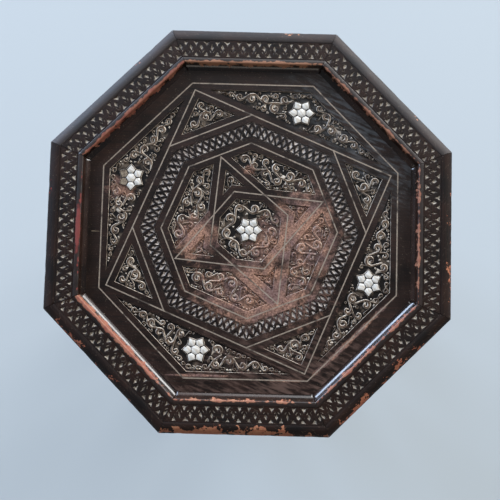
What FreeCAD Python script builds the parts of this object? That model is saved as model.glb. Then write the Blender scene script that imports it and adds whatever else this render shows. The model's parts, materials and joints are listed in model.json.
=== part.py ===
import FreeCAD, Part

import os
import re

import Sketcher

# An octagonal side table: a carved tray top with a mitred rim, metal wire lines and shell stars, on
# eight posts with frieze rails and cusped arch boards between them.
# The Z axis points up and the origin lies on the floor under the table's centre. Two sides of the
# octagon face along X and two along Y. Lengths are millimetres, angles are degrees.

# Driving sizes, one cell of the sheet each
SIZES = {
    "table_height": 460,
    "top_width": 400,
    "top_overhang": 35,
    # rim moulding, across its section from the outside in
    "rim_width": 40.5,
    "rim_rise": 8,
    "edge_round_width": 10,
    "edge_round_height": 7,
    "edge_round_rise": 1.9,
    "band_margin": 2.5,
    "band_width": 17,
    "band_depth": 1.2,
    "cove_width": 5.5,
    "cove_lip": 1.2,
    "cove_hollow": 1.5,
    "cove_fillet": 0.6,
    # field boards
    "field_thickness": 14,
    "rebate_width": 12.5,
    "rebate_depth": 7,
    "board_joint": 5,
    # layout of the lines on the field
    "field_margin": 12.9,
    "square_corner_gap": 7.4,
    "ring_width": 26.2,
    "rhombus_half_width": 41.2,
    "carving_border": 5.6,
    "carving_depth": 1.3,
    # wire
    "wire_width": 1.2,
    "wire_depth": 1,
    # shell stars
    "star_radius": 12.8,
    "star_offset": 22,
    "star_bed_depth": 0.5,
    "star_bed_margin": 0.7,
    "hexagon_radius": 4.6,
    "kite_root": 4.7,
    "kite_root_half": 1.8,
    "kite_waist": 7.9,
    "kite_waist_half": 4.1,
    # posts, rails and arch boards
    "post_face": 20,
    "post_depth": 18,
    "rail_height": 70,
    "rail_thickness": 16,
    "rail_setback": 1.5,
    "tenon_thickness": 6,
    "tenon_height": 40,
    "tenon_length": 8,
    "rail_border": 8,
    "arch_thickness": 10,
    "arch_setback": 3.5,
    "foot_gap": 8,
    "stile_width": 11,
    "arch_crown_gap": 30,
    "arch_rise": 88,
    "nib_width": 5,
    "lobe_bulge": 5.5,
    "ogee_hollow": 3,
    # hidden pieces under the top
    "bearer_offset": 55,
    "bearer_width": 30,
    "bearer_thickness": 14,
    "bearer_end_gap": 10,
    "block_length": 50,
    "block_width": 14,
    # square forged nails
    "nail_width": 3,
    "nail_head_width": 7,
    "nail_head_height": 2,
    "bearer_nail_bite": 7,
    "bearer_nail_end_gap": 33,
    "rim_nail_bite": 5,
    "rim_nail_spacing": 80,
    "hole_clearance": 0.15,
    # every cut runs this far past what it cuts
    "overrun": 5,
}

SIDES = 8
QUARTERS = 4
STAR_POINTS = 6
TURN = 360 / SIDES
HALF_TURN = TURN / 2
QUARTER_TURN = 360 / QUARTERS

# Cusps of the arch: shares of half the opening and of the arch's rise, from the springing up
CUSP_SHARES = ((0.80, 0.38), (0.36, 0.74))

# Levels and half widths that several pieces share
TOP_RADIUS = "top_width / 2"
FIELD_RADIUS = "(top_width / 2 - rim_width)"
BOARD_RADIUS = "(top_width / 2 - rim_width + rebate_width)"
FIELD_LEVEL = "(table_height - rim_rise)"
GROUND_LEVEL = "(table_height - rim_rise - carving_depth)"
UNDER_LEVEL = "(table_height - rim_rise - field_thickness)"
RAIL_LEVEL = "(table_height - rim_rise - field_thickness - rail_height)"
RAIL_MIDDLE = f"({UNDER_LEVEL} - rail_height / 2)"
TENON_LEVEL = f"({UNDER_LEVEL} - (rail_height + tenon_height) / 2)"
RIM_NAIL_LINE = f"({FIELD_RADIUS} + rebate_width / 2)"
HOLE_WIDTH = "(nail_width + 2 * hole_clearance)"
BASE_RADIUS = "(top_width / 2 - top_overhang)"
RAIL_FACE = f"({BASE_RADIUS} - rail_setback)"
RAIL_HALF = f"({BASE_RADIUS} * tan({HALF_TURN} deg) - post_face)"
SPRINGING_LEVEL = f"({RAIL_LEVEL} - arch_crown_gap - arch_rise)"
BEARER_REACH = f"(({BASE_RADIUS} - post_depth) / cos(45 deg) - bearer_offset - bearer_width / 2 - bearer_end_gap)"

# Distances from the centre to the field's lines of wire
OCTAGON_LINE = "(top_width / 2 - rim_width - field_margin)"
SQUARE_LINE = f"(({OCTAGON_LINE} / cos({HALF_TURN} deg) - square_corner_gap) * cos(45 deg))"
INNER_LINE = f"({SQUARE_LINE} - ring_width)"
RHOMBUS_TIP = f"({INNER_LINE} - 2 * wire_width)"
RHOMBUS_LEAN = f"atan({RHOMBUS_TIP} / rhombus_half_width)"
RHOMBUS_LINE = f"({RHOMBUS_TIP} * rhombus_half_width / sqrt({RHOMBUS_TIP}^2 + rhombus_half_width^2))"
CARVING_INSET = "(wire_width / 2 + carving_border)"
STAR_PLACE = f"({SQUARE_LINE} + star_offset)"

doc = FreeCAD.newDocument("SideTable")
sheet = doc.addObject("Spreadsheet::Sheet", "Sizes")
for row, (alias, size) in enumerate(SIZES.items(), start=1):
    sheet.set(f"A{row}", alias)
    sheet.set(f"B{row}", str(size))
    sheet.setAlias(f"B{row}", alias)
doc.recompute()


def bound(text):
    """Write each size name in an expression as its cell of the sheet."""
    return re.sub(r"[a-z]\w+", lambda word: f"Sizes.{word[0]}" if word[0] in SIZES else word[0], text)


def number(text):
    """Work an expression out to a plain number."""
    return float(sheet.evalExpression(bound(text)))


def meet(first, second):
    """Point where two lines cross; a line is its normal's direction and its distance from the centre."""
    (turn_a, far_a), (turn_b, far_b) = first, second
    spread = f"sin({turn_b} - ({turn_a}))"
    x = f"(({far_a}) * sin({turn_b}) - ({far_b}) * sin({turn_a})) / {spread}"
    y = f"(({far_b}) * cos({turn_a}) - ({far_a}) * cos({turn_b})) / {spread}"
    return x, y


def outline(lines):
    """Corners of the closed outline whose sides lie on the given lines, in their order."""
    return [meet(lines[index - 1], line) for index, line in enumerate(lines)]


def regular(distance, sides, first_turn):
    """Corners of a regular outline whose sides lie at one distance from the centre."""
    return outline([(f"{first_turn + 360 / sides * index} deg", distance) for index in range(sides)])


def octagon(distance):
    """Corners of an octagon that stands square to the table's sides."""
    return regular(distance, SIDES, 0)


def rectangle(half_width, low, high):
    """Corners of a rectangle that is centred sideways."""
    return [(f"-({half_width})", low), (half_width, low), (half_width, high), (f"-({half_width})", high)]


def rim_nail_outlines(width):
    """Square sections of the two nails in one side of the rim."""
    return [
        [
            (f"{RIM_NAIL_LINE} {out} {width} / 2", f"{hand}rim_nail_spacing / 2 {aside} {width} / 2")
            for out, aside in (("-", "-"), ("+", "-"), ("+", "+"), ("-", "+"))
        ]
        for hand in ("", "-")
    ]


def polar(centre, turn, out, aside):
    """Point at a distance out along a direction from a centre, and a distance to its left."""
    x = f"{centre[0]} + ({out}) * cos({turn} deg) - ({aside}) * sin({turn} deg)"
    y = f"{centre[1]} + ({out}) * sin({turn} deg) + ({aside}) * cos({turn} deg)"
    return x, y


def draw(sketch, corners, rises=None):
    """Draw a closed outline with its corners bound to the sheet.

    A side named in rises is an arc whose middle stands that far to the right of its chord.
    """
    rises = rises or {}
    count = len(corners)
    first = sketch.GeometryCount
    points = [FreeCAD.Vector(number(x), number(y), 0) for x, y in corners]
    edges = []
    starts = []
    for index, start in enumerate(points):
        stop = points[(index + 1) % count]
        if index in rises:
            rise = number(rises[index])
            chord = stop - start
            right = FreeCAD.Vector(chord.y, -chord.x, 0).normalize()
            edges.append(Part.Arc(start, (start + stop) / 2 + right * rise, stop))
            starts.append(1 if rise > 0 else 2)
        else:
            edges.append(Part.LineSegment(start, stop))
            starts.append(1)
    sketch.addGeometry(edges, False)
    constraints = []
    formulas = []
    for index in range(count):
        after = (index + 1) % count
        constraints.append(
            Sketcher.Constraint("Coincident", first + index, 3 - starts[index], first + after, starts[after])
        )
        formulas.append(None)
        for kind, formula in zip(("DistanceX", "DistanceY"), corners[index]):
            constraints.append(
                Sketcher.Constraint(kind, -1, 1, first + index, starts[index], number(formula))
            )
            formulas.append(formula)
    for index, rise in rises.items():
        (x1, y1), (x2, y2) = corners[index], corners[(index + 1) % count]
        chord = f"((({x2}) - ({x1}))^2 + (({y2}) - ({y1}))^2)"
        radius = f"{chord} / (8 * abs({rise})) + abs({rise}) / 2"
        constraints.append(Sketcher.Constraint("Radius", first + index, number(radius)))
        formulas.append(radius)
    placed = sketch.addConstraint(constraints)
    for index, formula in zip(placed, formulas):
        if formula:
            sketch.setExpression(f"Constraints[{index}]", bound(formula))


def new_body(label):
    """Start a piece that is made feature by feature."""
    body = doc.addObject("PartDesign::Body", "Body")
    body.Label = label
    return body


def new_sketch(body, role, offset="0"):
    """Start a sketch on one of the body's own origin planes, moved along the plane's normal."""
    sketch = body.newObject("Sketcher::SketchObject", "Sketch")
    plane = next(feature for feature in body.Origin.OriginFeatures if feature.Role == role)
    sketch.AttachmentSupport = [(plane, "")]
    sketch.MapMode = "FlatFace"
    sketch.setExpression("AttachmentOffset.Base.z", bound(offset))
    return sketch


def pad(body, sketch, length, both_ways=False):
    """Add material from the sketch along its normal."""
    feature = body.newObject("PartDesign::Pad", "Pad")
    feature.Profile = sketch
    feature.Midplane = both_ways
    feature.setExpression("Length", bound(length))
    doc.recompute()
    return feature


def pocket(body, sketch, depth, forward=False):
    """Cut from the sketch against its normal, or along it."""
    before = body.Shape.Volume
    feature = body.newObject("PartDesign::Pocket", "Pocket")
    feature.Profile = sketch
    feature.Reversed = forward
    feature.setExpression("Length", bound(depth))
    doc.recompute()
    if not body.Shape.Volume < before:
        raise RuntimeError(f"a pocket in {body.Label} cuts nothing")
    return feature


def pattern(body, originals, copies):
    """Repeat features round the table's upright axis."""
    feature = body.newObject("PartDesign::PolarPattern", "PolarPattern")
    feature.Originals = originals
    feature.Axis = (next(part for part in body.Origin.OriginFeatures if part.Role == "Z_Axis"), [""])
    feature.Angle = 360
    feature.Occurrences = copies
    body.Tip = feature
    doc.recompute()
    return feature


def turned(piece, degrees):
    """Turn a piece about the table's upright axis."""
    piece.Placement = FreeCAD.Placement(FreeCAD.Vector(), FreeCAD.Rotation(FreeCAD.Vector(0, 0, 1), degrees))
    return piece


def box(label, corner, size):
    """Make a block from its lowest corner and its three sizes."""
    block = doc.addObject("Part::Box", "Box")
    block.Label = label
    for axis, place in zip("xyz", corner):
        block.setExpression(f"Placement.Base.{axis}", bound(place))
    for side, length in zip(("Length", "Width", "Height"), size):
        block.setExpression(side, bound(length))
    return block


def square_bar(centre, low, width, height):
    """Make an upright bar of square section about a centre line."""
    x, y = centre
    return box("bar", (f"{x} - {width} / 2", f"{y} - {width} / 2", low), (width, width, height))


def joined(kind, label, pieces):
    """Make a fused shape or a group of the given pieces."""
    whole = doc.addObject(kind, "Joined")
    whole.Label = label
    setattr(whole, "Shapes" if kind == "Part::MultiFuse" else "Links", pieces)
    return whole


def combined(kind, label, base, tool):
    """Make what a cut or an overlap of two shapes leaves."""
    result = doc.addObject(kind, "Combined")
    result.Label = label
    result.Base = base
    result.Tool = tool
    return result


def rim_moulding(side):
    """One length of the rim: outer round, sunk band, arris, cove and mitred ends."""
    body = new_body(f"rim_moulding_{side + 1}")
    section = new_sketch(body, "XZ_Plane")
    band_out = "top_width / 2 - edge_round_width - band_margin"
    band_in = f"{band_out} - band_width"
    foot = f"{FIELD_RADIUS} + rebate_width"
    seat = f"{FIELD_LEVEL} - rebate_depth"
    draw(section, [
        (foot, UNDER_LEVEL),
        (TOP_RADIUS, UNDER_LEVEL),
        (TOP_RADIUS, "table_height - edge_round_height"),
        ("top_width / 2 - edge_round_width", "table_height"),
        (band_out, "table_height"),
        (band_out, "table_height - band_depth"),
        (band_in, "table_height - band_depth"),
        (band_in, "table_height"),
        (f"{FIELD_RADIUS} + cove_width", "table_height"),
        (f"{FIELD_RADIUS} + cove_width", "table_height - cove_lip"),
        (f"{FIELD_RADIUS} + cove_fillet", FIELD_LEVEL),
        (FIELD_RADIUS, FIELD_LEVEL),
        (FIELD_RADIUS, seat),
        (foot, seat),
    ], {2: "edge_round_rise", 9: "-cove_hollow"})
    pad(body, section, f"2 * top_width * tan({HALF_TURN} deg)", both_ways=True)
    mitres = new_sketch(body, "XY_Plane")
    for hand in ("", "-"):
        far = f"{hand}2 * top_width"
        draw(mitres, [("0", "0"), ("2 * top_width", f"{far} * tan({HALF_TURN} deg)"), ("0", far)])
    pocket(body, mitres, "table_height + overrun", forward=True)
    holes = new_sketch(body, "XY_Plane", f"{UNDER_LEVEL} - overrun")
    for corners in rim_nail_outlines(HOLE_WIDTH):
        draw(holes, corners)
    pocket(body, holes, "field_thickness - rebate_depth + overrun + rim_nail_bite", forward=True)
    return turned(body, TURN * side)


def wire_ring(label, outer, inner):
    """A closed line of wire between two outlines, let into the field."""
    body = new_body(label)
    sketch = new_sketch(body, "XY_Plane", f"{FIELD_LEVEL} - wire_depth")
    draw(sketch, outer)
    draw(sketch, inner)
    pad(body, sketch, "wire_depth")
    return body


def rhombus(direction, inset):
    """Corners of one of the two crossing rhombi, its long axis along a direction."""
    lines = []
    for base in (direction, direction + 2 * QUARTER_TURN):
        for side in (f"{base} deg + {RHOMBUS_LEAN}", f"{base + 2 * QUARTER_TURN} deg - {RHOMBUS_LEAN}"):
            lines.append((f"({side})", f"{RHOMBUS_LINE} - ({inset})"))
    return outline(lines)


def corner_cut_wires():
    """Four short wires that cut the great square's corners off to an octagon."""
    body = new_body("wire_corner_cuts")
    sketch = new_sketch(body, "XY_Plane", f"{FIELD_LEVEL} - wire_depth")
    inner = f"{SQUARE_LINE} - wire_width / 2"
    for quarter in range(QUARTERS):
        turn = HALF_TURN + QUARTER_TURN * quarter
        draw(sketch, outline([
            (f"{turn} deg", f"{SQUARE_LINE} + wire_width / 2"),
            (f"{turn + TURN} deg", inner),
            (f"{turn} deg", inner),
            (f"{turn - TURN} deg", inner),
        ]))
    pad(body, sketch, "wire_depth")
    return body


def wires():
    """All five wire nodes of the field, from the outside in."""
    half = "wire_width / 2"
    octagon_wire = wire_ring(
        "wire_outer_octagon", octagon(f"{OCTAGON_LINE} + {half}"), octagon(f"{OCTAGON_LINE} - {half}")
    )
    square_turn = HALF_TURN + TURN
    square_wire = wire_ring(
        "wire_great_square",
        regular(f"{SQUARE_LINE} + {half}", QUARTERS, square_turn),
        regular(f"{SQUARE_LINE} - {half}", QUARTERS, square_turn),
    )
    inner_wire = wire_ring(
        "wire_inner_octagon",
        regular(f"{INNER_LINE} + {half}", SIDES, HALF_TURN),
        regular(f"{INNER_LINE} - {half}", SIDES, HALF_TURN),
    )
    crossing = []
    for direction in (HALF_TURN, HALF_TURN + QUARTER_TURN):
        crossing.append(wire_ring(
            f"rhombus_{len(crossing) + 1}", rhombus(direction, f"-{half}"), rhombus(direction, half)
        ))
    rhombi = joined("Part::MultiFuse", "wire_rhombi", crossing)
    return [octagon_wire, square_wire, corner_cut_wires(), inner_wire, rhombi]


def compartments():
    """Outlines of the sunk carved grounds in one quarter of the field."""
    inset = CARVING_INSET
    side_a, side_b = (HALF_TURN + TURN, HALF_TURN)
    outer_triangle = outline([
        (f"{side_a} deg", f"{SQUARE_LINE} + {inset}"),
        (f"{TURN} deg", f"{OCTAGON_LINE} - {inset}"),
        (f"{2 * TURN} deg", f"{OCTAGON_LINE} - {inset}"),
    ])
    corner_triangle = outline([
        (f"{side_b} deg", f"{SQUARE_LINE} + {inset}"),
        (f"{side_b + TURN} deg", f"{SQUARE_LINE} - {inset}"),
        (f"{side_b - TURN} deg", f"{SQUARE_LINE} - {inset}"),
    ])
    # the rhombi's long axes lie along half a turn and a quarter circle further
    near_side = (f"({HALF_TURN} deg + {RHOMBUS_LEAN})", f"{RHOMBUS_LINE} + {inset}")
    far_side = (f"({HALF_TURN + QUARTER_TURN} deg - {RHOMBUS_LEAN})", f"{RHOMBUS_LINE} + {inset}")
    shield = outline([
        near_side,
        (f"{HALF_TURN} deg", f"{INNER_LINE} - {inset}"),
        (f"{HALF_TURN + TURN} deg", f"{INNER_LINE} - {inset}"),
        (f"{HALF_TURN + QUARTER_TURN} deg", f"{INNER_LINE} - {inset}"),
        far_side,
    ])
    dart = outline([
        (f"({HALF_TURN} deg + {RHOMBUS_LEAN})", f"{RHOMBUS_LINE} - {inset}"),
        (f"({HALF_TURN + QUARTER_TURN} deg - {RHOMBUS_LEAN})", f"{RHOMBUS_LINE} + {inset}"),
        (f"({HALF_TURN - QUARTER_TURN} deg + {RHOMBUS_LEAN})", f"{RHOMBUS_LINE} + {inset}"),
        (f"({HALF_TURN} deg - {RHOMBUS_LEAN})", f"{RHOMBUS_LINE} - {inset}"),
    ])
    return [outer_triangle, corner_triangle, shield, dart]


def centre_ground():
    """Outline of the carved ground in the middle, where both rhombi overlap."""
    lines = []
    for quarter in range(QUARTERS):
        middle = HALF_TURN + QUARTER_TURN * quarter
        for sign in ("-", "+"):
            lines.append((f"({middle} deg {sign} (90 deg - {RHOMBUS_LEAN}))", f"{RHOMBUS_LINE} - {CARVING_INSET}"))
    return outline(lines)


def star_centre(turn):
    """Centre of an outer star."""
    return polar(("0", "0"), turn, STAR_PLACE, "0")


def star_bed(centre, turn):
    """Outline of the recess that holds a star."""
    notch = "sqrt(kite_waist^2 + kite_waist_half^2) + star_bed_margin"
    corners = []
    for point in range(STAR_POINTS):
        tip = turn + 360 / STAR_POINTS * point
        corners.append(polar(centre, tip, "star_radius + star_bed_margin", "0"))
        corners.append(polar(centre, tip + 180 / STAR_POINTS, notch, "0"))
    return corners


def star_pieces(centre, turn, lost=()):
    """Outlines of a star's middle and of its points, less the lost ones."""
    step = 360 / STAR_POINTS
    middle = [polar(centre, turn + step * (point + 0.5), "hexagon_radius", "0") for point in range(STAR_POINTS)]
    pieces = [middle]
    for point in range(STAR_POINTS):
        if point in lost:
            continue
        tip = turn + step * point
        pieces.append([
            polar(centre, tip, "kite_root", "-kite_root_half"),
            polar(centre, tip, "kite_waist", "-kite_waist_half"),
            polar(centre, tip, "star_radius", "0"),
            polar(centre, tip, "kite_waist", "kite_waist_half"),
            polar(centre, tip, "kite_root", "kite_root_half"),
        ])
    return pieces


def pearl_star(label, centre, turn, lost=()):
    """One star of separate shell pieces, seated in its bed in the field."""
    body = new_body(label)
    sketch = new_sketch(body, "XY_Plane", f"{GROUND_LEVEL} - star_bed_depth")
    for piece in star_pieces(centre, turn, lost):
        draw(sketch, piece)
    pad(body, sketch, "star_bed_depth + carving_depth")
    return body


def field_panel(wire_nodes, nail_holes):
    """The field as it is glued up, rebated for the rim, carved and grooved."""
    body = new_body("field_panel")
    plan = new_sketch(body, "XY_Plane", UNDER_LEVEL)
    draw(plan, octagon(BOARD_RADIUS))
    pad(body, plan, "field_thickness")
    rebate = new_sketch(body, "XY_Plane", FIELD_LEVEL)
    draw(rebate, octagon(f"{BOARD_RADIUS} + overrun"))
    draw(rebate, octagon(FIELD_RADIUS))
    pocket(body, rebate, "rebate_depth")
    holes = new_sketch(body, "XY_Plane", f"{UNDER_LEVEL} - overrun")
    for corners in rim_nail_outlines(HOLE_WIDTH):
        draw(holes, corners)
    pattern(body, [pocket(body, holes, "field_thickness + overrun", forward=True)], SIDES)
    ring = new_sketch(body, "XY_Plane", FIELD_LEVEL)
    draw(ring, regular(f"{SQUARE_LINE} - {CARVING_INSET}", SIDES, HALF_TURN))
    draw(ring, regular(f"{INNER_LINE} + {CARVING_INSET}", SIDES, HALF_TURN))
    draw(ring, centre_ground())
    pocket(body, ring, "carving_depth")
    bed = new_sketch(body, "XY_Plane", FIELD_LEVEL)
    draw(bed, star_bed(("0", "0"), 0))
    pocket(body, bed, "carving_depth + star_bed_depth")
    quarter = new_sketch(body, "XY_Plane", FIELD_LEVEL)
    for corners in compartments():
        draw(quarter, corners)
    sunk = pocket(body, quarter, "carving_depth")
    outer_bed = new_sketch(body, "XY_Plane", FIELD_LEVEL)
    draw(outer_bed, star_bed(star_centre(HALF_TURN + TURN), 0))
    deeper = pocket(body, outer_bed, "carving_depth + star_bed_depth")
    pattern(body, [sunk, deeper], QUARTERS)
    grooved = combined("Part::Cut", "grooved_panel", body, joined("Part::MultiFuse", "all_wires", wire_nodes))
    return combined("Part::Cut", "drilled_panel", grooved, nail_holes)


def field_boards(panel):
    """The panel's two boards, which meet in one long joint."""
    reach = "top_width"
    north = box("north_of_joint", (f"-{reach}", "-board_joint", "0"), (f"2 * {reach}", reach, "table_height"))
    south = box(
        "south_of_joint", (f"-{reach}", f"-board_joint - {reach}", "0"), (f"2 * {reach}", reach, "table_height")
    )
    return [
        combined("Part::Common", "field_board_north", panel, north),
        combined("Part::Common", "field_board_south", panel, south),
    ]


def corner_post(corner):
    """A five-sided post at one corner, with a mortise for each of its two rails."""
    body = new_body(f"corner_post_{corner + 1}")
    plan = new_sketch(body, "XY_Plane")
    stop = f"post_face - {BASE_RADIUS} * tan({HALF_TURN} deg)"
    faces = {hand: (f"{hand}{HALF_TURN} deg", BASE_RADIUS) for hand in ("", "-")}
    backs = {hand: (f"{hand}{HALF_TURN} deg", f"{BASE_RADIUS} - post_depth") for hand in ("", "-")}
    ends = {hand: (f"{hand}{HALF_TURN + 90} deg", stop) for hand in ("", "-")}
    draw(plan, [
        meet(faces["-"], faces[""]),
        meet(faces[""], ends[""]),
        meet(ends[""], backs[""]),
        meet(backs["-"], ends["-"]),
        meet(ends["-"], faces["-"]),
    ])
    pad(body, plan, UNDER_LEVEL)
    mortises = new_sketch(body, "XY_Plane", TENON_LEVEL)
    for hand in ("", "-"):
        turn = f"{hand}{HALF_TURN}"
        cheek_out = (f"{turn} deg", f"{RAIL_FACE} - (rail_thickness - tenon_thickness) / 2")
        cheek_in = (f"{turn} deg", f"{RAIL_FACE} - (rail_thickness + tenon_thickness) / 2")
        mouth = (f"{hand}{HALF_TURN + 90} deg", f"{stop} + overrun")
        bottom = (f"{hand}{HALF_TURN + 90} deg", f"{stop} - tenon_length")
        draw(mortises, outline([cheek_out, mouth, cheek_in, bottom]))
    pocket(body, mortises, "tenon_height", forward=True)
    return turned(body, HALF_TURN + TURN * corner)


def frieze_rail(side):
    """A rail under the top, tenoned into two posts, with a carved and inlaid face."""
    body = new_body(f"frieze_rail_{side + 1}")
    blank = new_sketch(body, "YZ_Plane", f"{RAIL_FACE} - rail_thickness")
    draw(blank, rectangle(RAIL_HALF, RAIL_LEVEL, UNDER_LEVEL))
    pad(body, blank, "rail_thickness")
    tenons = new_sketch(body, "YZ_Plane", f"{RAIL_FACE} - (rail_thickness + tenon_thickness) / 2")
    draw(tenons, rectangle(f"{RAIL_HALF} + tenon_length", TENON_LEVEL, f"{TENON_LEVEL} + tenon_height"))
    pad(body, tenons, "tenon_thickness")
    groove = new_sketch(body, "YZ_Plane", RAIL_FACE)
    for corners in rail_wire_outlines():
        draw(groove, corners)
    pocket(body, groove, "wire_depth")
    ground = new_sketch(body, "YZ_Plane", RAIL_FACE)
    draw(ground, rail_rectangle("rail_border + wire_width + carving_border"))
    pocket(body, ground, "carving_depth")
    bed = new_sketch(body, "YZ_Plane", RAIL_FACE)
    draw(bed, star_bed(("0", RAIL_MIDDLE), 0))
    pocket(body, bed, "carving_depth + star_bed_depth")
    return turned(body, TURN * side)


def rail_rectangle(inset):
    """Outline on a rail's face, inset alike from its four edges."""
    return rectangle(f"{RAIL_HALF} - ({inset})", f"{RAIL_LEVEL} + {inset}", f"{UNDER_LEVEL} - ({inset})")


def rail_wire_outlines():
    """Outer and inner outline of the wire on a rail."""
    return [rail_rectangle("rail_border"), rail_rectangle("rail_border + wire_width")]


def rail_inlays():
    """The rails' wires and stars, each kind as one group round the table."""
    wire_group = new_body("rail_wires")
    wire_sketch = new_sketch(wire_group, "YZ_Plane", f"{RAIL_FACE} - wire_depth")
    for corners in rail_wire_outlines():
        draw(wire_sketch, corners)
    pattern(wire_group, [pad(wire_group, wire_sketch, "wire_depth")], SIDES)
    star_group = new_body("rail_stars")
    star_sketch = new_sketch(star_group, "YZ_Plane", f"{RAIL_FACE} - carving_depth - star_bed_depth")
    for piece in star_pieces(("0", RAIL_MIDDLE), 0):
        draw(star_sketch, piece)
    thickness = "carving_depth + star_bed_depth"
    pattern(star_group, [pad(star_group, star_sketch, thickness)], SIDES)
    return [wire_group, star_group]


def arch_board(side):
    """A board below a rail, cut out to a cusped arch with an ogee tip."""
    body = new_body(f"arch_board_{side + 1}")
    sketch = new_sketch(body, "YZ_Plane", f"{BASE_RADIUS} - arch_setback - arch_thickness")
    opening = f"({RAIL_HALF} - stile_width)"
    edge = [(opening, "foot_gap"), (opening, SPRINGING_LEVEL)]
    edge.append((f"{opening} - nib_width", SPRINGING_LEVEL))
    for across_share, up_share in CUSP_SHARES:
        edge.append((f"{opening} * {across_share}", f"{SPRINGING_LEVEL} + arch_rise * {up_share}"))
    left = [(f"-({y})", z) for y, z in edge]
    apex = [("0", f"{SPRINGING_LEVEL} + arch_rise")]
    corners = [(f"-{RAIL_HALF}", "foot_gap"), *left, *apex, *reversed(edge)]
    corners += [(RAIL_HALF, "foot_gap"), (RAIL_HALF, RAIL_LEVEL), (f"-{RAIL_HALF}", RAIL_LEVEL)]
    first_lobe = len(edge) - len(CUSP_SHARES)
    rises = {first_lobe: "-lobe_bulge", first_lobe + 1: "-lobe_bulge", first_lobe + 2: "ogee_hollow"}
    rises |= {first_lobe + 3: "ogee_hollow", first_lobe + 4: "-lobe_bulge", first_lobe + 5: "-lobe_bulge"}
    draw(sketch, corners, rises)
    pad(body, sketch, "arch_thickness")
    return turned(body, TURN * side)


def glue_blocks():
    """Eight blocks glued into the corner between the rails and the field."""
    body = new_body("glue_blocks")
    sketch = new_sketch(body, "XZ_Plane")
    back = f"{RAIL_FACE} - rail_thickness"
    draw(sketch, [
        (f"{back} - block_width", UNDER_LEVEL),
        (f"{back} - block_width", f"{UNDER_LEVEL} - block_width / 3"),
        (f"{back} - block_width / 3", f"{UNDER_LEVEL} - block_width"),
        (back, f"{UNDER_LEVEL} - block_width"),
        (back, UNDER_LEVEL),
    ])
    pattern(body, [pad(body, sketch, "block_length", both_ways=True)], SIDES)
    return body


def bearer_nails():
    """Forged nails with broad heads, driven up through the bearers into the field, and their holes."""
    low = f"{UNDER_LEVEL} - bearer_thickness"
    length = "bearer_thickness + bearer_nail_bite"
    nails = []
    holes = []
    for hand in ("", "-"):
        for step in (-1, 0, 1):
            place = (f"{hand}bearer_offset", f"{step} * ({BEARER_REACH} - bearer_nail_end_gap)")
            head = square_bar(place, f"{low} - nail_head_height", "nail_head_width", "nail_head_height")
            shank = square_bar(place, low, "nail_width", length)
            nails.append(joined("Part::MultiFuse", "nail", [head, shank]))
            holes.append(square_bar(place, f"{low} - overrun", HOLE_WIDTH, f"{length} + overrun"))
    group = joined("Part::Compound", "bearer_nails", nails)
    return group, joined("Part::MultiFuse", "nail_holes", holes)


def bearers(holes):
    """Two bearers across the field's joint, pierced for their nails."""
    nodes = []
    for name, hand in (("east", ""), ("west", "-")):
        blank = box(
            f"bearer_blank_{name}",
            (f"{hand}bearer_offset - bearer_width / 2", f"-{BEARER_REACH}", f"{UNDER_LEVEL} - bearer_thickness"),
            ("bearer_width", f"2 * {BEARER_REACH}", "bearer_thickness"),
        )
        nodes.append(combined("Part::Cut", f"bearer_{name}", blank, holes))
    return nodes


def rim_nails():
    """Nails driven up through the field's edge into the rim."""
    body = new_body("rim_nails")
    sketch = new_sketch(body, "XY_Plane", UNDER_LEVEL)
    for corners in rim_nail_outlines("nail_width"):
        draw(sketch, corners)
    nails = pad(body, sketch, "field_thickness - rebate_depth + rim_nail_bite")
    pattern(body, [nails], SIDES)
    return body


wire_nodes = wires()
nail_group, nail_holes = bearer_nails()
nodes = field_boards(field_panel(wire_nodes, nail_holes))
nodes += [rim_moulding(side) for side in range(SIDES)]
nodes += wire_nodes
nodes.append(pearl_star("pearl_star_centre", ("0", "0"), 0))
for quarter, name in enumerate(("north", "west", "south", "east")):
    lost_points = (1, 2) if name == "west" else ()
    place = star_centre(HALF_TURN + TURN + QUARTER_TURN * quarter)
    nodes.append(pearl_star(f"pearl_star_{name}", place, QUARTER_TURN * quarter, lost_points))
nodes += [corner_post(corner) for corner in range(SIDES)]
nodes += [frieze_rail(side) for side in range(SIDES)]
nodes += [arch_board(side) for side in range(SIDES)]
nodes += rail_inlays()
nodes += bearers(nail_holes)
nodes += [nail_group, glue_blocks(), rim_nails()]

doc.recompute()
for item in doc.Objects:
    if "Invalid" in item.State or "Error" in item.State:
        raise RuntimeError(f"{item.Label} failed: {item.State}")
for node in nodes:
    if node.Shape.isNull() or not node.Shape.isValid() or not node.Shape.Solids:
        raise RuntimeError(f"{node.Label} has no valid solid")

os.makedirs("parts", exist_ok=True)
for node in nodes:
    node.Shape.exportStep(f"parts/{node.Label}.step")
    extent = node.Shape.BoundBox
    print(f"{node.Label}: {len(node.Shape.Solids)} solids, {node.Shape.Volume:.0f} mm3, top {extent.ZMax:.2f}")
print(f"{len(nodes)} nodes")
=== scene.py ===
"""Dresses an octagonal side table: carved and inlaid tray top, moulded rim and an arched underframe."""

import json
import logging
import math
from dataclasses import asdict, dataclass, field
from enum import Enum

import bmesh
import bpy
import numpy as np
from bmesh.types import BMEdge, BMesh, BMVert
from bpy.types import Material, Node, NodeSocket, NodeTree
from mathutils import Matrix, Vector, noise
from mathutils.geometry import delaunay_2d_cdt

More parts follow.
